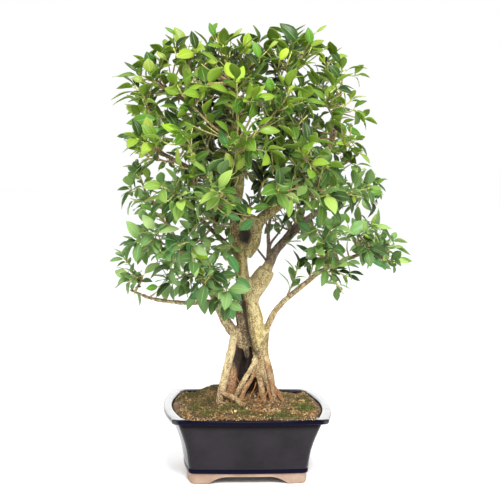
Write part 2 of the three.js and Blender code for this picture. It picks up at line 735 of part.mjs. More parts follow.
// All sprays are planned together, so that no leaf meets another spray or the wood
function makeSprays(barkSleeve) {
  const sprays = [];
  const starts = [];
  for (const [region, middles] of Object.entries(REGIONS)) {
    middles.forEach((middle, k) => {
      const number = sprays.length;
      const plan = planSpray(number, new THREE.Vector3(...middle), starts);
      const solids = plan.twigs.map((twig) => boxed(surfaceSolid(twigSurface(twig))));
      const name = `spray_${region}_${String(k + 1).padStart(2, '0')}`;
      sprays.push({ name, region, number, plan, solids });
    });
  }
  for (let slot = 0; slot < sprays[0].plan.slots.length; slot++) {
    for (const spray of sprays) {
      placeLeaf(spray, slot, sprays, boxed(barkSleeve));
    }
  }
  return sprays.map(({ name, region, plan }) => {
    const twigs = plan.twigs.map((twig) => surfaceSolid(twigSurface(twig)));
    const solid = largestBody(joined(twigs).subtract(barkSleeve));
    return { name, region, solid };
  });
}

// The first try at a leaf that stays clear of other sprays, of its own twigs and of their leaves.
function placeLeaf(spray, number, sprays, sleeve) {
  const slot = spray.plan.slots[number];
  const twig = spray.plan.twigs.find(({ slots }) => slots.includes(slot));
  const others = [sleeve, ...sprays.filter((other) => other !== spray).flatMap((other) => other.solids)];
  for (let trial = 0; trial < LEAF_TRIES; trial++) {
    const leaf = planLeaf(spray.number, number, slot, trial);
    slot.leaf = leaf;
    const crowded = meetsAny(testBlade(leaf, 0.1, 0.06), spray.solids)
      || crossesItself(twigSurface(twig))
      || meetsAny(testBlade(leaf, LEAF_CLEARANCE, 0.05), others);
    if (!crowded) {
      spray.solids.push(boxed(testBlade(leaf, 0, 0.05)));
      return;
    }
    slot.leaf = null;
  }
}

// Materials
const FINISHES = {
  glaze: { color: 0x1c1a33, roughness: 0.18, metalness: 0 },
  mesh: { color: 0x25282a, roughness: 0.7, metalness: 0 },
  soil: { color: 0x7d6444, roughness: 0.95, metalness: 0 },
  bark: { color: 0xb79f72, roughness: 0.85, metalness: 0 },
  crown: { color: 0x5f9a35, roughness: 0.42, metalness: 0 },
  upper: { color: 0x568f33, roughness: 0.42, metalness: 0 },
  middle: { color: 0x4d8735, roughness: 0.42, metalness: 0 },
  skirt: { color: 0x457f3a, roughness: 0.42, metalness: 0 },
  left: { color: 0x3f7844, roughness: 0.42, metalness: 0 },
  right: { color: 0x43803f, roughness: 0.42, metalness: 0 },
};

function named(name, solid, finish) {
  const mesh = new THREE.Mesh(geometryOf(solid), new THREE.MeshStandardMaterial(FINISHES[finish]));
  mesh.name = name;
  return mesh;
}

// The whole tree in its pot, standing with the middle of its box on the origin
function makeBonsai() {
  const wood = largestBody(makeWood());
  const bonsai = new THREE.Group();
  bonsai.add(named('pot', makePot(), 'glaze'));
  bonsai.add(named('drain_mesh_left', makeDrainMesh(-1), 'mesh'));
  bonsai.add(named('drain_mesh_right', makeDrainMesh(1), 'mesh'));
  const rootHoles = joined(Object.values(ROOTS).map((root) => branchSolid(root, CLEARANCE, CLEARANCE)))
    .add(branchSolid(LIMBS.trunkRight, CLEARANCE, CLEARANCE));
  bonsai.add(named('soil', largestBody(makeSoil(rootHoles)), 'soil'));
  bonsai.add(named('trunk', wood, 'bark'));
  for (const { name, region, solid } of makeSprays(makeWood(CLEARANCE, CLEARANCE))) {
    bonsai.add(named(name, solid, region));
  }
  const box = new THREE.Box3().setFromObject(bonsai, true);
  const centre = box.getCenter(new THREE.Vector3());
  bonsai.position.set(-centre.x, -centre.y, -box.min.z);
  return bonsai;
}

export default makeBonsai();
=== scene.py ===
import math

import bmesh
import bpy
import numpy as np
from mathutils import Matrix, Vector


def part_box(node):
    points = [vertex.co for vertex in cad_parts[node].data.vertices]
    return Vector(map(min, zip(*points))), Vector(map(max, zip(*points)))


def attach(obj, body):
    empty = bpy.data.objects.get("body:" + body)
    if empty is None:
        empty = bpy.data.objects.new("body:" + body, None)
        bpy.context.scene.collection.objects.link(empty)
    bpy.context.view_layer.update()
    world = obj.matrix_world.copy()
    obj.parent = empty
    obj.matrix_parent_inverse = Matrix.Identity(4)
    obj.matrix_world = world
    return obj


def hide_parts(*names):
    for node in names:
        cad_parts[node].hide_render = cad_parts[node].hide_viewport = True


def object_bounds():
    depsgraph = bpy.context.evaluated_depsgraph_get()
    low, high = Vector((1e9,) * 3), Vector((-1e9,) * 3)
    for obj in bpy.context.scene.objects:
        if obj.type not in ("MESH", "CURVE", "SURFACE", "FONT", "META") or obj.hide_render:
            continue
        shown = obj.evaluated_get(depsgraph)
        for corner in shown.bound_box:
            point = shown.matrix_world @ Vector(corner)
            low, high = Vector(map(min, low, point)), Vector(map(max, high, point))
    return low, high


# Looks of a ficus bonsai in a glazed pot, built round its CAD part.
# Shapes are worked out in millimetres round the pot's centre, and placed in the row frame at the end.
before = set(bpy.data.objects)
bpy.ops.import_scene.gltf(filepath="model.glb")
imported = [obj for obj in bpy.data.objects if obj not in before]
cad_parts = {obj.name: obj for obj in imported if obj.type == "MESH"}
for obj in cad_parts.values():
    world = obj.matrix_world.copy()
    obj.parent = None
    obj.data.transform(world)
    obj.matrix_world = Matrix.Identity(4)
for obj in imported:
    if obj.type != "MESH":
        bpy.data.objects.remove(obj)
cad_low, cad_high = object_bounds()
pot_low, pot_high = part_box("pot")
SHIFT = np.array([(pot_low.x + pot_high.x) / 2, (pot_low.y + pot_high.y) / 2, 0.0])
UP = np.array([0.0, 0.0, 1.0])


def placed(points):
    """Millimetres round the pot's centre, as metres in the row frame."""
    return np.asarray(points, float) / 1000 + SHIFT


def values_of(mesh, key):
    """A mesh's places or normals, a row for each point."""
    flat = np.zeros(len(mesh.vertices) * 3, np.float32)
    mesh.vertices.foreach_get(key, flat)
    return flat.reshape(-1, 3).astype(float)


def points_of(mesh):
    """A mesh's points in millimetres round the pot's centre."""
    return (values_of(mesh, "co") - SHIFT) * 1000


def unit(v):
    return v / np.linalg.norm(v, axis=-1, keepdims=True)


def draw(*keys):
    """A repeatable draw between 0 and 1 from a few whole numbers."""
    mask = 0xFFFFFFFF
    value = 2166136261
    for key in keys:
        value = ((value ^ ((key + 374761393) & mask)) * 668265263) & mask
        value ^= value >> 15
    value = ((value ^ (value >> 13)) * 1274126177) & mask
    value ^= value >> 16
    return value / 4294967296


def noise(points, size, seed=0):
    """Smooth noise from -1 to 1 at 3D points. size is a feature's size, or one for each axis."""
    p = np.asarray(points, float) / size + 100.5
    cell = np.floor(p).astype(np.int64)
    part = p - cell
    part = part * part * (3 - 2 * part)
    total = np.zeros(len(p))
    for corner in np.ndindex(2, 2, 2):
        near = (cell + corner).astype(np.uint64)
        mixed = near[:, 0] * np.uint64(73856093) ^ near[:, 1] * np.uint64(19349663)
        mixed ^= near[:, 2] * np.uint64(83492791) ^ np.uint64(seed * 2654435 + 17)
        mixed = (mixed ^ (mixed >> np.uint64(13))) * np.uint64(1274126177)
        mixed = (mixed ^ (mixed >> np.uint64(16))) & np.uint64(0xFFFF)
        weight = np.prod(np.where(corner, part, 1 - part), axis=1)
        total += weight * mixed.astype(float) / 65535
    return 2 * total - 1


def linear(colour):
    """sRGB from 0 to 255, as linear values."""
    c = np.asarray(colour, float) / 255
    return np.where(c <= 0.04045, c / 12.92, ((c + 0.055) / 1.055) ** 2.4)


# Meshes
class Surface:
    """Points, faces and point marks gathered for one piece."""

    def __init__(self):
        self.points = []
        self.faces = []
        self.marks = {}
        self.count = 0

    def add(self, points, faces, **marks):
        points = np.asarray(points, float).reshape(-1, 3)
        self.faces += [np.asarray(f, np.int64) + self.count for f in faces]
        self.points.append(points)
        for key, values in marks.items():
            self.marks.setdefault(key, []).append(values)
        self.count += len(points)

    def mesh(self, name):
        points = np.concatenate(self.points)
        marks = {key: np.concatenate(values) for key, values in self.marks.items()}
        return mesh_of(name, points, self.faces, marks)


def mesh_of(name, points, faces, marks=None):
    mesh = bpy.data.meshes.new(name)
    mesh.vertices.add(len(points))
    mesh.vertices.foreach_set("co", placed(points).astype(np.float32).ravel())
    sizes = np.concatenate([np.full(len(f), f.shape[1]) for f in faces if len(f)])
    corners = np.concatenate([f.ravel() for f in faces if len(f)])
    mesh.loops.add(len(corners))
    mesh.loops.foreach_set("vertex_index", corners.astype(np.int32))
    mesh.polygons.add(len(sizes))
    starts = np.concatenate([[0], np.cumsum(sizes)[:-1]])
    mesh.polygons.foreach_set("loop_start", starts.astype(np.int32))
    for key, values in (marks or {}).items():
        add_mark(mesh, key, values)
    mesh.update(calc_edges=True)
    mesh.polygons.foreach_set("use_smooth", np.ones(len(sizes), bool))
    return mesh


def add_mark(mesh, key, values):
    """Three values for each point, which materials read by name."""
    full = np.ones((len(values), 4), np.float32)
    full[:, :3] = values
    mesh.attributes.new(key, "FLOAT_COLOR", "POINT").data.foreach_set("color", full.ravel())


def add_object(name, data):
    obj = bpy.data.objects.new(name, data)
    bpy.context.scene.collection.objects.link(obj)
    return obj


def shaped(obj):
    """A new mesh of an object as its modifiers leave it."""
    bpy.context.view_layer.update()
    graph = bpy.context.evaluated_depsgraph_get()
    return bpy.data.meshes.new_from_object(obj.evaluated_get(graph))


def piece(mesh, name, materials, nodes=()):
    obj = add_object(name, mesh)
    for material in materials:
        mesh.materials.append(material)
    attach(obj, "root")
    if nodes:
        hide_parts(*nodes)
    return obj


def grid_faces(rows, columns, wrap=False):
    """Four-sided faces of a grid of points numbered row by row."""
    across = columns if wrap else columns - 1
    k, i = np.meshgrid(np.arange(rows - 1), np.arange(across), indexing="ij")
    a = (k * columns + i).ravel()
    b = (k * columns + (i + 1) % columns).ravel()
    return np.stack([a, b, b + columns, a + columns], axis=1)


def tube_faces(rows, columns):
    """Faces of a tube of points numbered ring by ring, with both ends closed."""
    first = np.arange(columns)
    return [grid_faces(rows, columns, True), first[None, ::-1], (rows - 1) * columns + first[None]]


def tube(surface, path, radii, sides, **marks):
    """A round tube with closed ends along a path."""
    rings = tube_rings(np.asarray(path, float), np.asarray(radii, float), sides)
    spread = {key: np.repeat(values, sides, axis=0) for key, values in marks.items()}
    surface.add(rings.reshape(-1, 3), tube_faces(len(rings), sides), **spread)


# Rough way from a tube's middle to its first side
FIRST_SIDE = (0.31, -0.95, 0.05)


def tube_rings(path, radii, sides):
    count = len(path)
    across = np.array(FIRST_SIDE)
    angles = 2 * math.pi * np.arange(sides) / sides
    radii = radii.reshape(count, -1)
    rings = np.zeros((count, sides, 3))
    for k in range(count):
        along = unit(path[min(k + 1, count - 1)] - path[max(k - 1, 0)])
        across = unit(across - along * across.dot(along))
        side = np.cross(along, across)
        around = np.cos(angles)[:, None] * across + np.sin(angles)[:, None] * side
        rings[k] = path[k] + around * radii[k][:, None]
    return rings


def smooth_path(points, step):
    """A curve through rows of numbers, x, y and z first, with points about a step apart."""
    points = np.asarray(points, float)
    before = np.vstack([2 * points[0] - points[1], points, 2 * points[-1] - points[-2]])
    out = []
    for k in range(len(points) - 1):
        p0, p1, p2, p3 = before[k:k + 4]
        pieces = max(1, int(round(np.linalg.norm((p2 - p1)[:3]) / step)))
        for t in np.arange(pieces) / pieces:
            out.append(0.5 * (2 * p1 + (p2 - p0) * t + (2 * p0 - 5 * p1 + 4 * p2 - p3) * t * t
                              + (3 * p1 - p0 - 3 * p2 + p3) * t ** 3))
    out.append(points[-1])
    return np.array(out)


# Materials
def start_material(name, roughness, **sockets):
    material = bpy.data.materials.new(name)
    material.use_nodes = True
    shader = material.node_tree.nodes["Principled BSDF"]
    shader.inputs["Roughness"].default_value = roughness
    for key, value in sockets.items():
        shader.inputs[key.replace("_", " ")].default_value = value
    return material, shader


def add_node(material, kind, inputs=None, **settings):
    """A node with its settings, and its inputs set to values or joined to other nodes' outputs."""
    node = material.node_tree.nodes.new(kind)
    for key, value in settings.items():
        setattr(node, key, value)
    for key, value in (inputs or {}).items():
        if isinstance(value, bpy.types.NodeSocket):
            material.node_tree.links.new(value, node.inputs[key])
        else:
            node.inputs[key].default_value = value
    return node


def place_of(material):
    return add_node(material, "ShaderNodeTexCoord").outputs["Object"]


def mark_of(material, name):
    return add_node(material, "ShaderNodeAttribute", attribute_name=name)


def coordinate_of(material, axis):
    return add_node(material, "ShaderNodeSeparateXYZ", {0: place_of(material)}).outputs[axis]


def distance_of(material, axis):
    """How far from the pot's middle along an axis, in metres."""
    place = sum_of(material, "SUBTRACT", coordinate_of(material, axis), float(SHIFT[axis]))
    return add_node(material, "ShaderNodeMath", {0: place}, operation="ABSOLUTE").outputs[0]


def noise_of(material, scale, detail=3.0, rough=0.55, stretch=None):
    place = place_of(material)
    if stretch:
        place = add_node(material, "ShaderNodeMapping", {"Vector": place, "Scale": stretch}).outputs[0]
    inputs = {"Vector": place, "Scale": scale, "Detail": detail, "Roughness": rough}
    return add_node(material, "ShaderNodeTexNoise", inputs).outputs["Fac"]


def spread_of(material, value, low, high, to_low=0.0, to_high=1.0):
    inputs = {"Value": value, "From Min": low, "From Max": high, "To Min": to_low, "To Max": to_high}
    return add_node(material, "ShaderNodeMapRange", inputs, interpolation_type="SMOOTHSTEP").outputs[0]


def sum_of(material, operation, a, b):
    return add_node(material, "ShaderNodeMath", {0: a, 1: b}, operation=operation).outputs[0]


def mix_of(material, share, a, b, blend="MIX"):
    """Two colours mixed. A plain colour is given as sRGB from 0 to 255."""
    node = add_node(material, "ShaderNodeMix", data_type="RGBA", blend_type=blend)
    for key, value in {0: share, 6: a, 7: b}.items():
        if isinstance(value, bpy.types.NodeSocket):
            material.node_tree.links.new(value, node.inputs[key])
        elif key == 0:
            node.inputs[key].default_value = value
        else:
            node.inputs[key].default_value = (*linear(value), 1)
    return node.outputs[2]


def bump_of(material, shader, height, distance, strength=1.0):
    inputs = {"Height": height, "Distance": distance, "Strength": strength}
    bump = add_node(material, "ShaderNodeBump", inputs)
    material.node_tree.links.new(bump.outputs[0], shader.inputs["Normal"])


def wire(material, output, socket):
    material.node_tree.links.new(output, socket)


# Heights where the glaze pooled
RIM_TOP = 110
RIM_FOOT = 101
BEAD_TOP = 24
GLAZE_LINE = 16.8


def glaze_material():
    """A dark glaze: near black on the walls with painted shade just under the rim, and a deeper blue where
    it pooled on rim and foot bead.
    """
    material, shader = start_material("dark_navy_glaze", 0.12, IOR=1.5)
    height = coordinate_of(material, 2)
    lip = spread_of(material, height, RIM_FOOT / 1000, (RIM_FOOT + 2) / 1000)
    brow = spread_of(material, height, (RIM_TOP - 1) / 1000, (RIM_TOP - 0.4) / 1000)
    bead = spread_of(material, height, (BEAD_TOP + 1) / 1000, BEAD_TOP / 1000)
    pooled = sum_of(material, "MAXIMUM", sum_of(material, "SUBTRACT", lip, brow), bead)
    cloud = spread_of(material, noise_of(material, 22, 4), 0.35, 0.7)
    wall = mix_of(material, cloud, (18, 14, 20), (30, 25, 31))
    # painted shade: the wall darkens towards the underside of the rim, over the 13 mm below it
    under = spread_of(material, height, (RIM_FOOT - 13) / 1000, RIM_FOOT / 1000)
    wall = mix_of(material, under, wall, (9, 7, 12))
    colour = mix_of(material, pooled, wall, (8, 6, 26))
    hem = spread_of(material, height, (GLAZE_LINE + 1.3) / 1000, (GLAZE_LINE + 0.5) / 1000)
    colour = mix_of(material, hem, colour, (72, 70, 78))
    speck = spread_of(material, noise_of(material, 900, 2), 0.68, 0.8, 0, 0.3)
    wire(material, mix_of(material, speck, colour, (70, 68, 78)), shader.inputs["Base Color"])
    wire(material, spread_of(material, noise_of(material, 60, 3), 0.3, 0.7, 0.1, 0.2),
         shader.inputs["Roughness"])
    shine = spread_of(material, sum_of(material, "MAXIMUM", pooled, under), 0, 1, 0.2, 0.05)
    aside = distance_of(material, 0)
    edge = sum_of(material, "MULTIPLY", brow, spread_of(material, aside, 0.098, 0.108))
    corner = sum_of(material, "MULTIPLY", lip, spread_of(material, aside, 0.108, 0.114, 0, 0.6))
    shine = sum_of(material, "ADD", shine, sum_of(material, "MAXIMUM", edge, corner))
    wire(material, shine, shader.inputs["Specular IOR Level"])
    bump_of(material, shader, noise_of(material, 55, 2), 0.0006, 0.2)
    return material


def clay_material():
    """Bare clay, grubby at the bottom, with painted shade on the inner faces of the feet."""
    material, shader = start_material("bare_clay", 0.85)
    cloud = spread_of(material, noise_of(material, 45, 4), 0.3, 0.7)
    colour = mix_of(material, cloud, (146, 122, 104), (168, 145, 127))
    grain = spread_of(material, noise_of(material, 1300, 3, 0.7), 0.52, 0.75)
    colour = mix_of(material, grain, colour, (136, 100, 76))
    height = coordinate_of(material, 2)
    ragged = sum_of(material, "MULTIPLY", noise_of(material, 160, 4), 0.008)
    dirt = spread_of(material, sum_of(material, "ADD", height, ragged), 0.0075, 0.003, 0, 0.55)
    colour = mix_of(material, dirt, colour, (112, 92, 66))
    # painted shade under the pot: the inner faces of the feet are darkened and made less shiny
    inside = sum_of(material, "MULTIPLY", spread_of(material, distance_of(material, 1), 0.0600, 0.0580),
                    spread_of(material, distance_of(material, 0), 0.0865, 0.0845))
    colour = mix_of(material, inside, colour, (34, 24, 14))
    wire(material, spread_of(material, inside, 0, 1, 0.3, 0), shader.inputs["Specular IOR Level"])
    wire(material, colour, shader.inputs["Base Color"])
    bump_of(material, shader, noise_of(material, 1500, 3, 0.7), 0.0004, 0.6)
    return material


def mesh_material():
    material, shader = start_material("drain_mesh_plastic", 0.6)
    dust = spread_of(material, noise_of(material, 180, 4), 0.4, 0.7)
    wire(material, mix_of(material, dust, (30, 33, 35), (70, 60, 48)), shader.inputs["Base Color"])
    weave = add_node(material, "ShaderNodeTexWave", {"Vector": place_of(material), "Scale": 260.0,
                                                    "Distortion": 0.4})
    bump_of(material, shader, weave.outputs["Fac"], 0.0004, 0.5)
    return material


def grit_material(name, roughness, grain_scale, depth):
    """Colour from the points' own paint, with a fine grain."""
    material, shader = start_material(name, roughness)
    paint = mark_of(material, "paint").outputs["Color"]
    grain = spread_of(material, noise_of(material, grain_scale, 4, 0.65), 0.3, 0.72)
    light = mix_of(material, 0.6, paint, (255, 240, 215), "SOFT_LIGHT")
    dark = mix_of(material, 0.55, paint, (92, 78, 66), "MULTIPLY")
    wire(material, mix_of(material, grain, dark, light), shader.inputs["Base Color"])
    bump_of(material, shader, noise_of(material, grain_scale * 1.4, 4, 0.7), depth, 0.8)
    return material


def bark_material():
    """Bark stippled with pale flecks on a darker skin, with cracks, yellow-green lichen and painted shade.
    """
    material, shader = start_material("fig_bark", 0.85)
    paint = mark_of(material, "paint").outputs["Color"]
    marks = add_node(material, "ShaderNodeSeparateColor", {0: mark_of(material, "bark").outputs["Color"]})
    pale, lichen, shade = marks.outputs[0], marks.outputs[1], marks.outputs[2]
    grain = noise_of(material, 620, 4, 0.7, stretch=(1.0, 1.0, 0.8))
    broad = noise_of(material, 170, 3, 0.6, stretch=(1.0, 1.0, 0.6))
    patches = sum_of(material, "MULTIPLY", sum_of(material, "SUBTRACT", broad, 0.5), 0.5)
    cover = sum_of(material, "ADD", grain, patches)
    level = sum_of(material, "ADD", cover, sum_of(material, "MULTIPLY", pale, 0.16))
    fleck = spread_of(material, level, 0.58, 0.66)
    crack = spread_of(material, noise_of(material, 420, 5, 0.7, stretch=(1.0, 1.0, 0.4)), 0.44, 0.34)
    skin = mix_of(material, crack, paint, (96, 74, 58), "MULTIPLY")
    paleness = sum_of(material, "ADD", sum_of(material, "MULTIPLY", pale, 0.55), 0.2)
    light = mix_of(material, paleness, paint, (218, 202, 158))
    colour = mix_of(material, fleck, skin, light)
    growth = spread_of(material, noise_of(material, 340, 4, 0.7), 0.46, 0.6)
    growth = sum_of(material, "MULTIPLY", growth, lichen)
    colour = mix_of(material, sum_of(material, "MULTIPLY", growth, 0.8), colour, (172, 160, 56))
    # painted shade from the points' shade mark, in hollows and grooves
    colour = mix_of(material, shade, colour, (16, 12, 9))
    wire(material, colour, shader.inputs["Base Color"])
    height = sum_of(material, "ADD", sum_of(material, "MULTIPLY", fleck, 0.6), grain)
    bump_of(material, shader, height, 0.0014, 0.8)
    return material


def twig_material():
    material, shader = start_material("young_twig", 0.6)
    paint = mark_of(material, "paint").outputs["Color"]
    patch = spread_of(material, noise_of(material, 500, 3, stretch=(1.0, 1.0, 0.5)), 0.4, 0.62, 0, 0.6)
    wire(material, mix_of(material, patch, paint, (120, 92, 66), "MULTIPLY"), shader.inputs["Base Color"])
    bump_of(material, shader, noise_of(material, 800, 3), 0.0005, 0.5)
    return material


# Share of the light that passes through a leaf
THROUGH_SHARE = 0.18


def leaf_material(name, under, gloss):
    """A glossy blade with a pale midrib, faint side veins and a thin pale edge."""
    material, shader = start_material(name, gloss, Coat_Weight=0.05, Coat_Roughness=0.2,
                                      Specular_IOR_Level=0.24)
    paint = mark_of(material, "paint").outputs["Color"]
    marks = add_node(material, "ShaderNodeSeparateColor", {0: mark_of(material, "blade").outputs["Color"]})
    along, across, below = marks.outputs[0], marks.outputs[1], marks.outputs[2]
    midrib = spread_of(material, across, 0.06, 0.012)
    slant = sum_of(material, "MULTIPLY", across, -0.32)
    count = sum_of(material, "MULTIPLY", sum_of(material, "ADD", along, slant), 13.0)
    wave = sum_of(material, "PINGPONG", count, 0.5)
    veins = spread_of(material, wave, 0.11, 0.0)
    edge = spread_of(material, across, 0.9, 1.0)
    mottle = spread_of(material, noise_of(material, 160, 3), 0.35, 0.7)
    mottle = sum_of(material, "MULTIPLY", mottle, 0.35)
    colour = mix_of(material, mottle, paint, (150, 190, 90), "SOFT_LIGHT")
    for line, share, tone in ((veins, 0.12, (190, 215, 120)), (midrib, 0.42, (206, 222, 130)),
                              (edge, 0.28, (205, 225, 165))):
        colour = mix_of(material, sum_of(material, "MULTIPLY", line, share), colour, tone)
    pale = mix_of(material, 0.6, colour, under)
    colour = mix_of(material, below, colour, pale)
    wire(material, colour, shader.inputs["Base Color"])
    rough = add_node(material, "ShaderNodeMapRange", {"Value": below, "To Min": gloss, "To Max": 0.62})
    wire(material, rough.outputs[0], shader.inputs["Roughness"])
    height = sum_of(material, "ADD", sum_of(material, "MULTIPLY", veins, 0.5), midrib)
    bump_of(material, shader, height, 0.0003, 0.5)
    shining = mix_of(material, 0.5, colour, (190, 225, 60))
    through = add_node(material, "ShaderNodeBsdfTranslucent", {"Color": shining})
    parts = {0: THROUGH_SHARE, 1: shader.outputs[0], 2: through.outputs[0]}
    blend = add_node(material, "ShaderNodeMixShader", parts)
    output = material.node_tree.nodes["Material Output"]
    wire(material, blend.outputs[0], output.inputs["Surface"])
    return material


GLAZE = glaze_material()
CLAY = clay_material()
MESH = mesh_material()
SOIL = grit_material("soil_grit", 0.95, 700, 0.0006)
MOSS = grit_material("moss", 0.9, 1500, 0.0004)
BARK = bark_material()
TWIG = twig_material()
LEAF_UPPER = leaf_material("leaf_yellow_green", (126, 156, 50), 0.36)
LEAF_LOWER = leaf_material("leaf_blue_green", (122, 156, 92), 0.4)

# Pot
RIM_HALF_WIDTH = 120
RIM_HALF_DEPTH = 92.5
SIDE_BOW = 13
FRONT_BOW = 5
CORNER_RADIUS = 9
FOOT_INSET = 29.5
FOOT_WIDTH = 15
FLOOR_UNDERSIDE = 12
FLOOR_TOP = 19
FRONT_ARCH_HALF = 62
SIDE_ARCH_HALF = 38
CUTTER_LENGTH = 150
DRAIN_X = 46
DRAIN_RADIUS = 9
CORNER_STEPS = 7
SIDE_STEPS = 22


def pot_ring(inset, z, bow_share=1.0):
    """A level outline of the pot, with round corners and bowed sides."""
    x = RIM_HALF_WIDTH - inset - CORNER_RADIUS
    y = RIM_HALF_DEPTH - inset - CORNER_RADIUS
    corners = [(x, y), (-x, y), (-x, -y), (x, -y)]
    bows = [FRONT_BOW, SIDE_BOW, FRONT_BOW, SIDE_BOW]
    ring = []
    for k, (cx, cy) in enumerate(corners):
        for i in range(CORNER_STEPS + 1):
            angle = (k + i / CORNER_STEPS) * math.pi / 2
            ring.append((cx + CORNER_RADIUS * math.cos(angle), cy + CORNER_RADIUS * math.sin(angle), z))
        nx, ny = corners[(k + 1) % 4]
        outward = (k + 1) * math.pi / 2
        for i in range(1, SIDE_STEPS):
            t = i / SIDE_STEPS
            push = CORNER_RADIUS + bows[k] * bow_share * 4 * t * (1 - t)
            ring.append((cx + (nx - cx) * t + push * math.cos(outward),
                         cy + (ny - cy) * t + push * math.sin(outward), z))
    return ring


# Inset from the rim's corners, height and share of the bow, from the feet up and down the inside
POT_WALL = [
    (31.0, 0, 0.5), (30.2, 0.5, 0.5), (29.6, 1.4, 0.5), (29.5, 3, 0.5), (29.5, 10, 0.5), (29.5, 15.6, 0.5),
    (29.3, 16.4, 0.5), (28.4, 17.0, 0.5), (27.4, 17.5, 0.5), (26.9, 18.4, 0.5), (26.7, 20, 0.5),
    (26.7, 22, 0.5), (26.9, 23.6, 0.5), (27.3, 24.6, 0.5), (27.2, 25.6, 0.5), (26.6, 28, 0.52),
    (25.6, 36, 0.56), (24.5, 46, 0.6), (22.6, 56, 0.65), (20.4, 65, 0.7), (17.8, 74, 0.76),
    (14.9, 83, 0.85), (12.3, 91, 0.95), (10.4, 97, 1), (9.4, 100.2, 1), (8.9, 101.4, 1), (7.6, 101.9, 1),
    (3.4, 102.1, 1), (1.5, 102.5, 1), (0.5, 103.4, 1), (0.1, 105, 1), (0, 106.6, 1), (0.25, 108.2, 1),
    (1.0, 109.3, 1), (2.2, 109.9, 1), (4, 110, 1), (9, 110, 1), (11.6, 109.9, 1), (12.9, 109.4, 1),
    (13.7, 108.4, 1), (14.1, 107, 1), (14.9, 103, 1), (16, 99, 1), (21, 82, 0.86), (28, 60, 0.7),
    (33, 40, 0.6), (38, 19, 0.5),
]


def arch_points(half):
    """Half the outline of an arch under the pot, from its foot up."""
    edge = [(-half, -1.0), (-half, 1.0)]
    for t in (0.2, 0.4, 0.6, 0.8, 1.0):
        a = (1 - t) ** 2
        b = 2 * t * (1 - t)
        across = -half * (a + 0.78 * b + 0.56 * t * t)
        edge.append((across, a + b * (FLOOR_UNDERSIDE - 1) + t * t * FLOOR_UNDERSIDE))
    return edge


def cutter(outline, length, along_x):
    """A closed bar with an outline across it, through the pot from side to side."""
    outline = outline + [(-u, z) for u, z in reversed(outline)]
    points = []
    for end in (-length, length):
        for u, z in outline:
            points.append((end, u, z) if along_x else (u, end, z))
    faces = tube_faces(2, len(outline))
    obj = add_object("cutter", mesh_of("cutter", np.array(points), faces))
    return facing_out(obj)


def facing_out(obj):
    """The object with all its faces turned outwards."""
    bm = bmesh.new()
    bm.from_mesh(obj.data)
    bmesh.ops.recalc_face_normals(bm, faces=bm.faces)
    bm.to_mesh(obj.data)
    bm.free()
    return obj


def pot_shape():
    """The pot's body, hollowed between its feet, arched on four sides and drilled for drainage."""
    rings = np.array([pot_ring(*row) for row in POT_WALL])
    count = rings.shape[1]
    faces = tube_faces(len(rings), count)
    obj = add_object("pot_shape", mesh_of("pot_shape", rings.reshape(-1, 3), faces))
    inside = FOOT_INSET + FOOT_WIDTH
    well = np.array([pot_ring(inside, z, 0.5) for z in (-1, FLOOR_UNDERSIDE)])
    hollow = add_object("well", mesh_of("well", well.reshape(-1, 3), tube_faces(2, count)))
    cutters = [hollow, cutter(arch_points(FRONT_ARCH_HALF), CUTTER_LENGTH, False),
               cutter(arch_points(SIDE_ARCH_HALF), CUTTER_LENGTH, True)]
    for side in (-1, 1):
        hole = Surface()
        x = side * DRAIN_X
        tube(hole, [(x, 0, 2), (x, 0, 34)], [DRAIN_RADIUS, DRAIN_RADIUS], 28)
        drill = add_object("drill", hole.mesh("drill"))
        cutters.append(facing_out(drill))
    for other in cutters:
        cut = obj.modifiers.new("cut", "BOOLEAN")
        cut.operation = "DIFFERENCE"
        cut.solver = "EXACT"
        cut.object = other
    mesh = shaped(obj)
    for other in [obj, *cutters]:
        bpy.data.objects.remove(other)
    return mesh


def keep_part(mesh, name, height, above):
    """The part of a mesh above or below a level, closed again at the cut."""
    bm = bmesh.new()
    bm.from_mesh(mesh)
    geometry = list(bm.verts) + list(bm.edges) + list(bm.faces)
    level = placed((0, 0, height))
    cut = bmesh.ops.bisect_plane(bm, geom=geometry, plane_co=level, plane_no=(0, 0, 1),
                                 clear_inner=above, clear_outer=not above)
    edges = [e for e in cut["geom_cut"] if isinstance(e, bmesh.types.BMEdge)]
    bmesh.ops.triangle_fill(bm, use_beauty=True, use_dissolve=False, edges=edges)
    bmesh.ops.recalc_face_normals(bm, faces=bm.faces)
    out = bpy.data.meshes.new(name)
    bm.to_mesh(out)
    bm.free()
    out.polygons.foreach_set("use_smooth", np.ones(len(out.polygons), bool))
    out.set_sharp_from_angle(angle=math.radians(38))
    return out


pot_mesh = pot_shape()
piece(keep_part(pot_mesh, "pot_glazed", GLAZE_LINE, True), "pot_glazed", [GLAZE], ["pot"])
piece(keep_part(pot_mesh, "pot_foot", GLAZE_LINE, False), "pot_foot", [CLAY], ["pot"])
for side in ("left", "right"):
    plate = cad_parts[f"drain_mesh_{side}"]
    plate.data.materials.clear()
    plate.data.materials.append(MESH)

# Soil
SOIL_EDGE = 105
MOUND_HEIGHT = 22
MOUND_HALF_WIDTH = 65
MOUND_HALF_DEPTH = 52
SOIL_INSET = 15.2
SOIL_RINGS = 74
SOIL_AT_RIM = 109.2
FRONT_BANK_TOP = 115.5
SIDE_BANK = 3.5
# Mounds: middle, radius and height
SOIL_BUMPS = [(-58, 42, 25, 14), (-36, 38, 16, 5), (-84, -32, 20, 3), (-22, -58, 18, 3.5),
              (84, -24, 22, 3), (60, 52, 20, 3)]
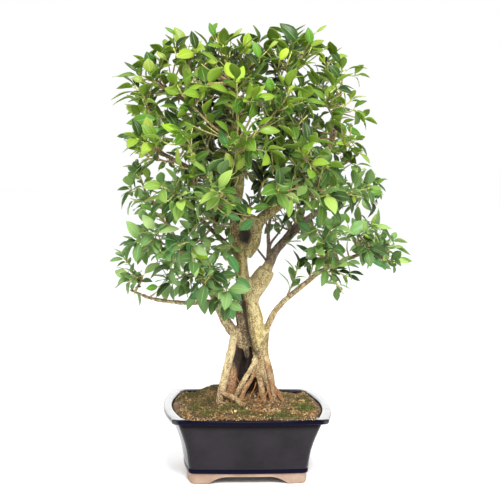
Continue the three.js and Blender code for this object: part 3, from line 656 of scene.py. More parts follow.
# Moss patches: middle, half width, half depth and greenness
MOSS_PATCHES = [
    (-32, -50, 26, 14, 0.6), (-84, -44, 22, 15, 0.55), (-78, 40, 34, 26, 0.25), (-48, 44, 26, 22, 0.2),
    (-66, -14, 34, 22, 0.25), (96, 20, 14, 26, 0.4),
    (88, -30, 24, 17, 0.95), (46, -74, 30, 8, 0.8), (-10, -70, 18, 9, 0.5), (-64, -66, 20, 9, 0.6),
    (66, 34, 18, 14, 0.5), (10, 62, 26, 12, 0.5), (-50, -10, 14, 12, 0.4), (60, -52, 16, 12, 0.35),
]


def soil_height(x, y):
    """A mound round the roots, with bumps, ripples and banks along the front and the sides."""
    spread = np.hypot(x / MOUND_HALF_WIDTH, y / MOUND_HALF_DEPTH)
    z = SOIL_EDGE + MOUND_HEIGHT / (1 + spread ** 4)
    for bx, by, radius, height in SOIL_BUMPS:
        z = z + height * np.exp(-((x - bx) ** 2 + (y - by) ** 2) / radius ** 2)
    z = z + 0.8 * np.sin(x / 9 + y / 14) * np.cos(y / 8 - x / 17)
    front = np.exp(-((y + 65) / 10) ** 2) * np.clip((106 - np.abs(x)) / 9, 0, 1)
    z = z + front * np.clip(FRONT_BANK_TOP - z, 0, 8)
    sides = np.exp(-((np.abs(x) - 101) / 9) ** 2) * np.clip((y + 84) / 20, 0, 1)
    return z + SIDE_BANK * sides


def moss_at(x, y):
    """How mossy a place is, and how green."""
    flat = np.stack([x, y, np.zeros_like(x)], axis=1)
    ragged = 0.5 * noise(flat, 12, 5) + 0.6 * noise(flat, 4.6, 6) + 0.55 * noise(flat, 2.2, 7)
    cover = np.zeros_like(x)
    green = np.full_like(x, 0.3)
    for mx, my, rx, ry, lush in MOSS_PATCHES:
        here = 1.15 - np.hypot((x - mx) / rx, (y - my) / ry) + ragged
        here = np.clip(here * 1.3, 0, 1)
        green = np.where(here > cover, lush, green)
        cover = np.maximum(cover, here)
    return cover, green


EARTH_TONES = np.array([(78, 58, 36), (122, 96, 58), (50, 38, 24), (150, 120, 78)])
MOSS_TONES = np.array([(86, 74, 34), (72, 84, 26)])


def soil_piece():
    """The soil from its rough top down to the pot's floor."""
    edge = np.array(pot_ring(SOIL_INSET, SOIL_EDGE))
    shares = np.linspace(1, 0.02, SOIL_RINGS)
    rings = edge[None] * shares[:, None, None]
    x, y = rings[..., 0].ravel(), rings[..., 1].ravel()
    flat = np.stack([x, y, np.zeros_like(x)], axis=1)
    z = soil_height(x, y) + 0.9 * noise(flat, 5, 1) + 0.6 * noise(flat, 2.2, 2) - 0.6
    cover, green = moss_at(x, y)
    z += 1.4 * cover
    count = len(edge)
    rim = np.repeat(shares, count) > 0.999
    z = np.where(rim, np.minimum(z, SOIL_AT_RIM), z)
    points = np.stack([x, y, z], axis=1)
    pick = np.clip((noise(flat, 3.2, 3) + 1) * 2, 0, 2.999)
    low = EARTH_TONES[pick.astype(int)]
    high = EARTH_TONES[pick.astype(int) + 1]
    tone = low + (high - low) * (pick % 1)[:, None]
    moss = MOSS_TONES[0] + (MOSS_TONES[1] - MOSS_TONES[0]) * green[:, None]
    tone = tone + (moss * 0.7 - tone) * cover[:, None]
    surface = Surface()
    faces = [grid_faces(len(shares), count, True)[:, ::-1]]
    inner = (len(shares) - 1) * count + np.arange(count)
    base = np.array(pot_ring(38.5, FLOOR_TOP + 0.4, 0.5))
    lower = np.array(pot_ring(28.4, 60, 0.7))
    below = len(points) + np.arange(2 * count).reshape(2, count)
    wall = np.stack([np.arange(count), below[1], below[0]])
    skirt = []
    for upper, lower_row in zip(wall[:-1], wall[1:]):
        skirt.append(np.stack([upper, lower_row, np.roll(lower_row, -1), np.roll(upper, -1)], axis=1))
    faces += [inner[None, ::-1], *skirt, wall[-1][None]]
    every = np.vstack([points, base, lower])
    dull = np.repeat([EARTH_TONES[2]], 2 * count, axis=0)
    surface.add(every, faces, paint=linear(np.vstack([tone, dull])))
    mesh = surface.mesh("soil_bed")
    obj = piece(mesh, "soil_bed", [SOIL], ["soil"])
    return facing_out(obj)


CHIP_CORNERS = np.array([
    (1, 0, 0), (0.25, 0.95, 0.1), (-0.85, 0.55, -0.1), (-0.8, -0.6, 0.1), (0.3, -0.95, -0.1),
    (0.35, 0.2, 0.8), (-0.4, -0.15, 0.85), (0.1, 0.05, -0.8)])
CHIP_FACES = np.array([
    (0, 1, 5), (1, 6, 5), (1, 2, 6), (2, 3, 6), (3, 4, 6), (4, 5, 6), (4, 0, 5),
    (1, 0, 7), (2, 1, 7), (3, 2, 7), (4, 3, 7), (0, 4, 7)])
CHIP_TONES = np.array([
    (172, 140, 92), (128, 98, 58), (92, 68, 42), (206, 178, 136), (150, 112, 64), (70, 52, 34),
    (186, 140, 82), (134, 118, 84), (108, 80, 48), (222, 198, 164)])


def scatter_places(rng, count, keep):
    """Random places on the soil, kept where a test of x and y says so."""
    x = rng.uniform(-108, 108, count)
    y = rng.uniform(-80, 80, count)
    across = np.abs(x) / (103.5 + 8 * (1 - (y / 76) ** 2))
    deep = np.abs(y) / (75.5 + 4 * (1 - (x / 104) ** 2))
    good = (np.maximum(across, deep) < 1) & keep(x, y)
    return x[good], y[good]


def turned(rng, count):
    """Random rotation matrices."""
    q = unit(rng.normal(size=(count, 4)))
    w, x, y, z = q.T
    return np.stack([
        np.stack([1 - 2 * (y * y + z * z), 2 * (x * y - z * w), 2 * (x * z + y * w)], axis=1),
        np.stack([2 * (x * y + z * w), 1 - 2 * (x * x + z * z), 2 * (y * z - x * w)], axis=1),
        np.stack([2 * (x * z - y * w), 2 * (y * z + x * w), 1 - 2 * (x * x + y * y)], axis=1),
    ], axis=1)


def copies(surface, corners, faces, paint):
    """Many small shapes with the same faces, each with its own corners and paint."""
    count, each = corners.shape[:2]
    offset = (np.arange(count) * each)[:, None, None]
    every = (np.asarray(faces)[None] + offset).reshape(-1, np.shape(faces)[1])
    surface.add(corners.reshape(-1, 3), [every], paint=linear(np.repeat(paint, each, axis=0)))


CHIPS = 9800
SPILT_CHIPS = 900
SPILT_AREA = ((-97, -94), (97, -79))
CHIP_SIZES = (0.5, 3.9)
SPILT_SIZE = 1.5
MOSSY_CHIP = np.array((92, 88, 40))
PALEST_CHIP = (216, 190, 150)
MOSS_SHOOTS = 26000
DRY_MOSS = np.array([(104, 84, 44)])
FRESH_MOSS = np.array([(112, 128, 40)])


def grit_piece():
    """Loose chips of grit on the soil, larger at the front, and a few on the front rim."""
    rng = np.random.default_rng(41)
    x, y = scatter_places(rng, CHIPS, lambda x, y: rng.random(len(x)) > 0.6 * moss_at(x, y)[0])
    spilt = rng.uniform(*SPILT_AREA, (SPILT_CHIPS, 2))
    x = np.concatenate([x, spilt[:, 0]])
    y = np.concatenate([y, spilt[:, 1]])
    count = len(x)
    front = np.exp(-((x - 10) / 62) ** 2 - ((y + 62) / 24) ** 2)
    size = np.clip(rng.gamma(3.0, 0.4, count) * (0.85 + 0.75 * front), *CHIP_SIZES)
    size = np.where(y < -80, np.minimum(size, SPILT_SIZE), size)
    broad = size * rng.uniform(0.55, 0.95, count)
    flat = np.stack([size, broad, size * rng.uniform(0.35, 0.8, count)], axis=1)
    shapes = CHIP_CORNERS[None] * flat[:, None] * rng.uniform(0.78, 1.2, (count, len(CHIP_CORNERS), 1))
    turns = turned(rng, count)
    tilt = np.eye(3)[None] * 0.55 + turns * 0.6
    shapes = np.einsum("nij,nkj->nki", tilt, np.einsum("nij,nkj->nki", turned_flat(rng, count), shapes))
    lying = np.maximum(soil_height(x, y), np.where(y < -79, RIM_TOP + 0.3, 0))
    centre = np.stack([x, y, lying + 0.25 * size - 0.3], axis=1)
    paint = CHIP_TONES[rng.integers(0, len(CHIP_TONES), count)] * rng.uniform(0.8, 1.2, (count, 1))
    mossy = moss_at(x, y)[0][:, None] * rng.uniform(0.0, 0.75, (count, 1))
    paint = paint + (MOSSY_CHIP - paint) * mossy
    surface = Surface()
    copies(surface, centre[:, None] + shapes, CHIP_FACES, np.clip(paint, 0, PALEST_CHIP))
    mesh = surface.mesh("grit")
    mesh.polygons.foreach_set("use_smooth", np.zeros(len(mesh.polygons), bool))
    return facing_out(piece(mesh, "grit", [SOIL]))


def turned_flat(rng, count):
    """Random turns about the upright."""
    angle = rng.uniform(0, 2 * math.pi, count)
    c, s, o, i = np.cos(angle), np.sin(angle), np.zeros(count), np.ones(count)
    return np.stack([np.stack([c, -s, o], 1), np.stack([s, c, o], 1), np.stack([o, o, i], 1)], 1)


def moss_piece():
    """Short pointed shoots in dense patches."""
    rng = np.random.default_rng(43)
    x, y = scatter_places(rng, MOSS_SHOOTS, lambda x, y: rng.random(len(x)) < moss_at(x, y)[0] - 0.2)
    count = len(x)
    cover, green = moss_at(x, y)
    height = rng.uniform(0.9, 2.6, count) * (0.6 + 0.5 * cover)
    angle = rng.uniform(0, 2 * math.pi, count)
    lean = rng.uniform(0, 1.2, count)
    foot = np.stack([x, y, soil_height(x, y) + 1.0 * cover], axis=1)
    corners = np.zeros((count, 4, 3))
    for i in range(3):
        turn = angle + i * 2 * math.pi / 3
        corners[:, i] = foot + np.stack([np.cos(turn), np.sin(turn), np.full(count, -0.9)], axis=1) * 0.5
    corners[:, 3] = foot + np.stack([np.cos(angle) * lean, np.sin(angle) * lean, height], axis=1)
    clump = noise(np.stack([x, y, np.zeros(count)], axis=1), 3.2, 8)
    mix = np.clip(green + 0.5 * clump + rng.normal(0, 0.15, count), 0, 1)[:, None]
    paint = DRY_MOSS * (1 - mix) + FRESH_MOSS * mix
    paint = np.clip(paint * (0.85 + 0.45 * clump + rng.uniform(-0.25, 0.25, count))[:, None], 0, 255)
    surface = Surface()
    copies(surface, corners, [(0, 1, 3), (1, 2, 3), (2, 0, 3), (0, 2, 1)], paint)
    return piece(surface.mesh("moss_shoots"), "moss_shoots", [MOSS])


soil_piece()
grit_piece()
moss_piece()

# Wood: places with the bark's radius, and a tone
LIMBS = {
    "trunkRight": [(29, 2, 80, 10), (27, 1, 118, 10), (24, -1, 158, 9.5), (19, -5, 190, 9.5),
                   (15, -7, 208, 10.5), (11.5, -8, 230, 12.5), (9, -8, 252, 13.2), (4.5, -7, 275, 10.5),
                   (7, -5, 288, 12), (13, -2, 302, 14.5), (20, 0, 314, 14.5), (27, 0, 327, 12.5)],
    "trunkUp": [(3, -3, 284, 10), (-8, 1, 304, 10.5), (-13, 4, 330, 10.5), (-16, 5, 357, 10.5),
                (-23, 5, 384, 9), (-24, 5, 428, 9), (-20, 5, 452, 8.5), (-18, 5, 484, 7.5),
                (-23, 8, 524, 6.4), (-32, 9, 570, 5.2), (-31, 4, 636, 3.2)],
    "brownColumn": [(-16, -2, 304, 8), (-16, -3, 274, 8), (-14, -4, 255, 7), (-10, -5, 236, 7),
                    (-7, -6, 216, 6.5), (-3, -6, 199, 4.5), (-2, -6, 186, 2.5)],
    "leftFlange": [(-6, -1, 284, 4), (-5, -5, 255, 4), (1, -8, 231, 4), (8, -12, 204, 4),
                   (14, -15, 178, 4)],
    "hollowCollar": [(-6, 0, 350, 9), (7, -3, 368, 8.5), (10, -3, 392, 8.5), (19, -2, 409, 8.5),
                     (54, 5, 437, 7.5), (80, 10, 457, 6.5), (104, 14, 482, 5.6), (122, 16, 517, 4.8),
                     (134, 14, 557, 3.8), (138, 10, 598, 2.8)],
    "collarTop": [(-22, 2, 403, 6), (-6, -1, 406, 6.5), (14, -2, 404, 6)],
    "collarBack": [(-5, 9, 352, 8), (-3, 10, 378, 8), (-5, 8, 404, 8)],
    "leftLimb": [(-9, -5, 204, 5), (-18, -8, 219, 7.5), (-29, -8, 235, 8.5), (-40, -8, 251, 7.5),
                 (-57, -12, 286, 6), (-85, -16, 328, 4.2), (-104, -20, 356, 3.4), (-124, -14, 388, 2.6),
                 (-136, -6, 420, 2)],
    "leftTwist": [(-52, -11, 272, 4), (-66, -6, 276, 3.6), (-96, -10, 274, 3.2), (-149, -18, 281, 2.5),
                  (-186, -22, 296, 1.8)],
    "rightBranch": [(28, -5, 214, 5), (28, -7, 231, 5.2), (46, -8, 268, 4.4), (92, -12, 311, 3.6),
                    (124, -14, 334, 3.2), (205, -18, 368, 2.2)],
    "greyBranch": [(25, 0, 322, 9), (33, 2, 340, 7.5), (45, 5, 361, 6.5), (77, 15, 392, 5.5),
                   (100, 20, 412, 4.8), (134, 25, 430, 4), (186, 20, 456, 2.2)],
    "greyUpright": [(29, 2, 336, 4), (30, 4, 362, 3), (29, 5, 390, 2.6), (36, 8, 430, 2)],
    "greyBack": [(54, 9, 373, 4.6), (92, 88, 405, 3.2), (100, 118, 420, 2.3)],
    "lowBack": [(-12, 6, 342, 5), (-60, 66, 384, 3.4), (-84, 92, 404, 2.4)],
    "lowFront": [(-21, 3, 412, 5), (-66, -60, 438, 3.2), (-88, -92, 446, 2.2)],
    "leftMiddle": [(-22, 5, 440, 6), (-80, -8, 474, 4.4), (-142, -16, 508, 2.4)],
    "leftHigh": [(-24, 8, 532, 5), (-80, 21, 572, 3.7), (-130, 16, 604, 2.3)],
    "backMiddle": [(-20, 6, 466, 5.6), (-30, 60, 487, 4.4), (-40, 118, 520, 2.6)],
    "frontMiddle": [(-18, 4, 486, 5.6), (-24, -54, 502, 4.4), (-32, -112, 524, 2.6)],
    "rightFront": [(50, 4, 434, 5.6), (76, -56, 452, 4.3), (88, -102, 470, 2.8)],
    "rightMiddle": [(102, 14, 480, 5), (136, 6, 491, 3.8), (166, -8, 512, 2.2)],
    "rightBack": [(56, 6, 438, 5.2), (84, 64, 465, 4.2), (102, 112, 494, 2.6)],
    "crownRight": [(-29, 10, 556, 4.8), (16, 2, 594, 3.7), (66, 0, 638, 2.4)],
    "crownFront": [(-32, 10, 574, 4), (-32, -28, 596, 3.2), (-36, -58, 614, 2.4)],
    "crownBack": [(-33, 8, 592, 3.8), (-20, 44, 608, 3), (-8, 74, 622, 2.2)],
}
ROOTS = {
    "backColumn": [(0, 6, 298, 8), (4, 10, 240, 8.5), (4, 14, 180, 9.5), (3, 20, 90, 9)],
    "rightEdge": [(27, -3, 236, 5.5), (26, -5, 212, 6), (26, -6, 190, 7), (30, -5, 170, 8.5),
                  (34, -4, 152, 8.5), (38, -4, 132, 8), (44, -5, 88, 7)],
    "frontEdge": [(24, -12, 190, 6), (28, -15, 166, 6), (33, -17, 146, 6), (38, -19, 126, 5.5),
                  (42, -22, 90, 4.5)],
    "backEdge": [(30, 8, 160, 8), (38, 16, 130, 9), (44, 20, 88, 7.5)],
    "back": [(12, 16, 172, 9), (8, 26, 126, 11), (6, 30, 88, 9)],
    "leftBack": [(-4, 4, 222, 9), (-16, 13, 180, 10.5), (-30, 18, 124, 13), (-34, 20, 86, 10)],
    "leftRed": [(-18, 1, 176, 6), (-24, -6, 152, 8.5), (-30, -9, 118, 8.5), (-33, -10, 88, 8)],
    "leftAerial": [(-24, -14, 224, 6), (-28, -20, 199, 6), (-33, -21, 178, 5.8), (-38, -22, 155, 6),
                   (-43, -23, 130, 6), (-50, -24, 90, 4.5)],
    "diagonal": [(26, -12, 230, 3.4), (20, -17, 208, 3.4), (11, -21, 185, 3.4), (-4, -24, 159, 3.3),
                 (-18, -27, 134, 3.2), (-30, -30, 96, 2.6)],
    "diagonalTwin": [(15, -15, 184, 3), (12, -16, 172, 3.2), (5, -19, 156, 3.4), (-8, -23, 133, 3.4),
                     (-19, -27, 94, 2.8)],
    "strand": [(31, -11, 232, 2), (21, -19, 215, 2.2), (13, -20.5, 198, 2.4), (7, -20, 184, 2.4)],
    "innerStrand": [(-6, 10, 204, 6), (-9, 14, 172, 6.5), (-12, 16, 130, 7), (-13, 18, 96, 7)],
    "middleThin": [(14, -15, 186, 3.8), (16, -19, 166, 4), (20, -22, 145, 4.4), (24, -26, 124, 4.6),
                   (29, -32, 90, 4)],
    "frontFlat": [(-42, -26, 136, 4), (-26, -36, 130, 4.4), (-14, -42, 123, 4.4), (-2, -52, 102, 3.4)],
    "rightFlat": [(38, -4, 140, 6), (50, -8, 124, 5), (64, -12, 98, 3.6)],
}
FLUTED = {"trunkRight": 0.09, "trunkUp": 0.09, "brownColumn": 0.1, "hollowCollar": 0.06, "leftLimb": 0.06}

# Bark tones: sRGB, share of pale flecks and share of lichen
CREAM = (150, 120, 64, 1.0, 0.35)
BROWN = (92, 62, 40, 0.5, 0.12)
OLIVE = (108, 90, 48, 0.75, 0.6)
UPPER = (98, 72, 54, 0.45, 0.3)
GREY = (108, 92, 80, 0.3, 0.1)
TAN = (128, 98, 64, 0.8, 0.15)
RED = (152, 96, 58, 0.65, 0.0)
PALE_ROOT = (150, 120, 76, 1.0, 0.08)
TONES = {
    "trunkRight": CREAM, "trunkUp": (132, 116, 70, 0.75, 0.55), "brownColumn": (74, 54, 36, 0.4, 0.1),
    "hollowCollar": OLIVE, "collarTop": OLIVE, "collarBack": BROWN, "leftLimb": TAN, "leftTwist": TAN,
    "rightBranch": TAN, "greyBranch": GREY, "greyUpright": GREY, "greyBack": GREY, "lowBack": GREY,
    "rightEdge": (146, 104, 66, 0.7, 0), "frontEdge": (156, 112, 68, 0.8, 0), "backEdge": RED,
    "back": RED, "leftBack": (128, 84, 56, 0.3, 0), "leftFlange": (120, 86, 56, 0.5, 0),
    "backColumn": (70, 50, 36, 0.2, 0), "leftRed": RED, "leftAerial": PALE_ROOT, "diagonal": PALE_ROOT,
    "strand": PALE_ROOT, "innerStrand": (70, 54, 40, 0.2, 0), "diagonalTwin": (158, 112, 66, 0.7, 0),
    "middleThin": (136, 104, 60, 0.7, 0.15), "frontFlat": (148, 124, 78, 0.7, 0.2), "rightFlat": RED,
}
# Hollows with painted shade: centre and half sizes
HOLLOWS = [((-10, 0, 380), (11.5, 14, 13)), ((-12, 2, 172), (13, 17, 36)), ((8, 0, 156), (14, 15, 32))]
WOOD_SIDES = 18
WOOD_VOXEL = 1.6
WOOD_GROW = 0.35
PLAIN_FLUTE = 0.04
# Grooves in the front of the trunk, sunk in and with painted shade: places, with the half width
GROOVES = [
    [(-15, -6, 300, 2.0), (-9.5, -6, 278, 2.2), (-4, -6, 240, 2.6), (3, -6, 209, 3.0), (10, -6, 196, 2.4)],
    [(2, -8, 262, 1.1), (5, -9, 240, 1.2), (12, -10, 212, 1.2), (17, -10, 196, 1.0)],
    [(29, -6, 226, 1.2), (18, -8, 208, 1.4), (10, -8, 194, 1.4)],
    [(22, -8, 196, 1.2), (26, -8, 178, 1.6), (33, -8, 150, 1.8), (37, -8, 130, 1.6)],
]
# Dull brown strips, left of the bulge and up the left of the collar: places, with the half width
BROWN_STRIPS = [
    [(-6, -6, 276, 3.0), (-1, -8, 250, 3.6), (4, -8, 230, 3.4), (10, -10, 206, 3.0), (16, -12, 188, 2.6)],
    [(-27, -4, 424, 4.5), (-26, -4, 396, 6), (-22, -4, 366, 6), (-19, -4, 340, 5), (-20, -4, 316, 4)],
]


def near_path(points, path):
    """From 1 on a path to 0 well away from it, seen from the front."""
    path = smooth_path(path, 3.0)
    away = np.linalg.norm(points[:, None, ::2] - path[None, :, 0:3:2], axis=2) / path[None, :, 3]
    return np.exp(-away.min(axis=1) ** 2) * np.clip((4 - points[:, 1]) / 6, 0, 1)


def groove_at(points):
    """How deep in a groove each point lies."""
    return np.max([near_path(points, path) for path in GROOVES], axis=0)


def wood_paths():
    for name, points in [*LIMBS.items(), *ROOTS.items()]:
        yield name, smooth_path(points, 5.0)


def rough_wood():
    """All limbs and roots as tubes, run together by a fine remesh."""
    surface = Surface()
    for name, path in wood_paths():
        angle = 2 * math.pi * np.arange(WOOD_SIDES) / WOOD_SIDES
        flute = FLUTED.get(name, PLAIN_FLUTE)
        k = np.linspace(0, len(path) / 5, len(path))[:, None]
        radii = path[:, 3:] * (1 + flute * np.sin(3 * angle[None] + k * 0.9)) + WOOD_GROW
        rings = tube_rings(path[:, :3], radii, WOOD_SIDES)
        surface.add(rings.reshape(-1, 3), tube_faces(len(path), WOOD_SIDES))
    obj = add_object("wood", surface.mesh("wood"))
    remesh = obj.modifiers.new("run_together", "REMESH")
    remesh.mode = "VOXEL"
    remesh.voxel_size = WOOD_VOXEL / 1000
    soften = obj.modifiers.new("soften", "SMOOTH")
    soften.factor = 0.5
    soften.iterations = 3
    mesh = shaped(obj)
    bpy.data.objects.remove(obj)
    return mesh


# Points worked on at a time, and how far tones run into each other
BLOCK = 4000
TONE_BLEND = 1.1


def nearest_limbs(points):
    """Blended tone, and shares of flecks and lichen, at each point."""
    places, radii, tones = [], [], []
    for name, path in wood_paths():
        tone = TONES.get(name, UPPER)
        places.append(path[:, :3])
        radii.append(path[:, 3])
        tones.append(np.repeat([tone], len(path), axis=0))
    places, radii, tones = np.concatenate(places), np.concatenate(radii), np.concatenate(tones)
    out = np.zeros((len(points), 5))
    for start in range(0, len(points), BLOCK):
        block = points[start:start + BLOCK]
        away = np.linalg.norm(block[:, None] - places[None], axis=2) - radii[None]
        away -= away.min(axis=1, keepdims=True)
        weight = np.exp(-away / TONE_BLEND)
        out[start:start + BLOCK] = weight @ tones / weight.sum(axis=1, keepdims=True)
    return out


STRIP_TONE = np.array([(92, 66, 42)])
ROOT_TONE = np.array([(132, 80, 46)])
GROOVE_DEPTH = 1.8


def bark_colours(points, tone, ridge, cleft):
    """Colour, and shares of pale flecks, lichen and painted shade, at each point of the wood."""
    height = points[:, 2]
    colour, pale, lichen = tone[:, :3], tone[:, 3], tone[:, 4]
    strip = np.max([near_path(points, path) for path in BROWN_STRIPS], axis=0)
    colour = colour + (STRIP_TONE - colour) * strip[:, None]
    pale = pale * (1 - 0.6 * strip)
    base = np.clip((178 - height + 10 * noise(points, 14, 15)) / 46, 0, 1)
    colour = colour + (ROOT_TONE - colour) * base[:, None] * 0.45
    colour = colour * (1 + 0.14 * noise(points, (7, 7, 16), 16))[:, None]
    # painted shade: colour darkened in the bark's furrows, where the surface sinks in
    colour = colour * (1 - 0.38 * np.clip(-ridge, 0, 1)[:, None])
    pale = pale * (1 - 0.25 * base)
    green = np.exp(-(((points[:, 0] - 20) / 12) ** 2 + ((height - 225) / 34) ** 2))
    lichen = np.clip(lichen * (1 - base) + 0.6 * green, 0, 1)
    # painted shade: points inside the hollows are darkened, less so on the front below the fork
    shade = np.zeros(len(points))
    for centre, half in HOLLOWS:
        inside = 1.25 - np.linalg.norm((points - centre) / half, axis=1)
        shade = np.maximum(shade, np.clip(inside * 1.7, 0, 0.92))
    front = np.clip((-points[:, 1] - 9) / 7, 0, 1)
    shade = np.where(height < 300, shade * (1 - front), shade)
    # painted shade along the grooves
    shade = np.maximum(shade, np.clip(cleft * 1.1 - 0.1, 0, 0.88))
    return linear(np.clip(colour, 0, 255)), np.stack([pale, lichen, shade], axis=1)


def wood_piece():
    """The trunk, limbs and roots, with ridged bark, knobs, wrinkles and grooves."""
    mesh = rough_wood()
    points = points_of(mesh)
    tone = nearest_limbs(points)
    thick = np.clip((420 - points[:, 2]) / 200, 0.35, 1)
    ridge = noise(points, (5.5, 5.5, 24), 11) * 0.75 + noise(points, (2.6, 2.6, 9), 12) * 0.45
    knob = np.clip(noise(points, (3.4, 3.4, 3.0), 13) - 0.25, 0, 1) * 0.9
    wrinkle = noise(points, (9, 9, 2.4), 14) * 0.22
    cleft = groove_at(points)
    rise = (ridge + knob + wrinkle) * thick * (1 - cleft) - GROOVE_DEPTH * cleft
    points += values_of(mesh, "normal") * rise[:, None]
    mesh.vertices.foreach_set("co", placed(points).astype(np.float32).ravel())
    paint, bark = bark_colours(points, tone, ridge, cleft)
    add_mark(mesh, "paint", paint)
    add_mark(mesh, "bark", bark)
    mesh.polygons.foreach_set("use_smooth", np.ones(len(mesh.polygons), bool))
    mesh.materials.clear()
    return piece(mesh, "wood", [BARK], ["trunk"])


wood_piece()

# Leafy sprays, laid out by the same rule as the CAD part
REGIONS = {
    "crown": [(-152, 0, 622), (-112, -52, 640), (-64, 50, 652), (-46, -48, 644), (4, 12, 656),
              (44, -56, 638), (70, 30, 660), (110, -14, 640), (-92, 98, 608), (14, 108, 616),
              (100, 84, 604)],
    "upper": [(-166, -18, 590), (-162, 64, 566), (-106, -104, 586), (-32, -118, 592), (34, -126, 584),
              (100, -82, 590), (140, 14, 580), (-30, 148, 560), (60, 142, 562)],
    "middle": [(-156, -64, 516), (-156, 46, 502), (-98, -134, 520), (-20, -150, 520), (58, -144, 514),
               (130, -64, 520), (136, 66, 520), (-92, 128, 506), (0, 162, 486), (88, 132, 488)],
    "skirt": [(-166, -14, 446), (-122, -108, 454), (-52, -152, 452), (20, -146, 454), (84, -124, 448),
              (150, -72, 456), (176, 14, 462), (-120, 96, 440), (132, 92, 442), (-36, 126, 428)],
    "left": [(-152, -72, 378), (-162, 22, 366), (-96, -92, 378), (-166, -36, 320), (-104, -44, 322),
             (-62, -76, 330), (-86, 72, 358), (-36, -56, 300)],
    "right": [(94, -74, 372), (160, -54, 398), (192, 26, 372), (126, 88, 380), (202, -28, 348),
              (128, -34, 330)],
}
SPRAY_LIMBS = [
    "trunkUp", "hollowCollar", "leftLimb", "leftTwist", "rightBranch", "greyBranch", "greyUpright",
    "greyBack", "lowBack", "lowFront", "leftMiddle", "leftHigh", "backMiddle", "frontMiddle",
    "rightFront", "rightMiddle", "rightBack", "crownRight", "crownFront", "crownBack"]
HEART = np.array([-10.0, 0.0, 440.0])
LEAF_LENGTH = 33
LEAF_LENGTH_SPREAD = 11
LEAF_WIDTH_SHARE = 0.5
LEAF_THICKNESS = 0.9
LEAF_TRIES = 30
LEAF_ARCH = 0.12
STEM_RADIUS = 2
TWIG_RADIUS = 1.35
TWIG_TIP_RADIUS = 1


def limb_places():
    """Places along the limbs that can carry a spray."""
    places = []
    for name in SPRAY_LIMBS:
        points = np.array(LIMBS[name], float)[:, :3]
        for a, b in zip(points[:-1], points[1:]):
            places += [a + (b - a) * (i / 5) for i in range(6)]
    places = np.array(places)
    return places[places[:, 2] > 262]


LIMB_PLACES = limb_places()


def stem_start(middle, earlier):
    """The place on a limb that a stem to a place grows from, clear of earlier ones."""
    cost = np.linalg.norm(LIMB_PLACES - middle, axis=1)
    cost = cost + 0.6 * np.maximum(0, LIMB_PLACES[:, 2] - middle[2] + 10)
    for start in earlier:
        cost = np.where(np.linalg.norm(LIMB_PLACES - start, axis=1) > 12, cost, np.inf)
    return LIMB_PLACES[np.argmin(cost)]


def outward_from(middle):
    out = middle - HEART
    out[2] = out[2] * 0.75 + 30
    return unit(out)


def across_from(axis):
    side = np.cross(UP, axis)
    if np.linalg.norm(side) < 0.2:
        side = np.array([1.0, 0, 0]) - axis * axis[0]
    return unit(side)


def leaving(axis, angle, turn):
    """A way that leaves an axis at an angle, turned round it."""
    side = across_from(axis)
    over = np.cross(axis, side)
    around = side * math.cos(turn) + over * math.sin(turn)
    return unit(axis * math.cos(angle) + around * math.sin(angle))


def rotated(v, axis, angle):
    c, s = math.cos(angle), math.sin(angle)
    return v * c + np.cross(axis, v) * s + axis * axis.dot(v) * (1 - c)


def plan_twig(places):
    """A twig's path and radii, with a slot for a leaf at its tip and on each of its sides."""
    path = np.array([p for p, _ in places])
    radii = np.array([r for _, r in places], float)
    rings = tube_rings(path, radii, 3)
    before, end = rings[-2], rings[-1]
    axis = unit(end.mean(0) - before.mean(0))
    slots = [(end.mean(0), axis, None)]
    for face in range(3):
        other = (face + 1) % 3
        base = (before[face] + before[other] + end[face] + end[other]) / 4
        slots.append((base, axis, unit(base - np.concatenate([before, end]).mean(0))))
    return {"path": path, "radii": radii, "slots": slots}


def plan_spray(number, middle, earlier):
    """A stem from the nearest free limb through a region's place, and a side twig."""
    start = stem_start(middle, earlier)
    earlier.append(start)
    axis = outward_from(middle)
    half = (start + middle) / 2 - UP * 0.06 * np.linalg.norm(start - middle)
    end = middle + axis * 20
    fork = half + (middle - half) * 0.7
    way = unit(leaving(axis, 1.15, 2 * math.pi * draw(number, 1)) + UP * 0.12)
    twig_end = fork + way * 38 * (0.85 + 0.3 * draw(number, 2))
    stem = plan_twig([(start, STEM_RADIUS), (half, STEM_RADIUS * 0.9), (middle, TWIG_RADIUS),
                      (end - axis * 2, TWIG_TIP_RADIUS), (end, TWIG_TIP_RADIUS)])
    twig = plan_twig([(fork, TWIG_RADIUS), (twig_end - way * 2, TWIG_TIP_RADIUS),
                      (twig_end, TWIG_TIP_RADIUS)])
    return {"number": number, "axis": axis, "twigs": [stem, twig]}


def plan_leaf(spray, number, slot, trial):
    """A leaf of a slot, turned a little further with each trial."""
    base, axis, outward = slot
    loose = 0.3 + 0.04 * trial

    def swing(channel):
        return 2 * draw(spray, 10 + number, trial, channel) - 1

    if outward is None:
        forward = leaving(axis, loose * abs(swing(1)), math.pi * swing(2))
    else:
        angle = 0.95 + 0.9 * loose * swing(1)
        aside = rotated(outward, axis, 1.6 * loose * swing(2))
        forward = axis * math.cos(angle) + aside * math.sin(angle)
    forward = unit(forward + UP * 0.15 * swing(3))
    length = LEAF_LENGTH + LEAF_LENGTH_SPREAD * draw(spray, 10 + number, 77)
    return make_leaf(base, forward, UP + axis * 0.6, 0.8 * swing(4), length)


def make_leaf(base, forward, hint, roll, length, width_share=LEAF_WIDTH_SHARE):
    """A leaf along a way, its face turned as far as it goes towards a hint."""
    up = hint - forward * hint.dot(forward)
    if np.linalg.norm(up) < 0.25:
        up = across_from(forward)
    face = rotated(unit(up), forward, roll)
    return {"base": base, "forward": forward, "face": face, "length": length,
            "width": length * width_share}


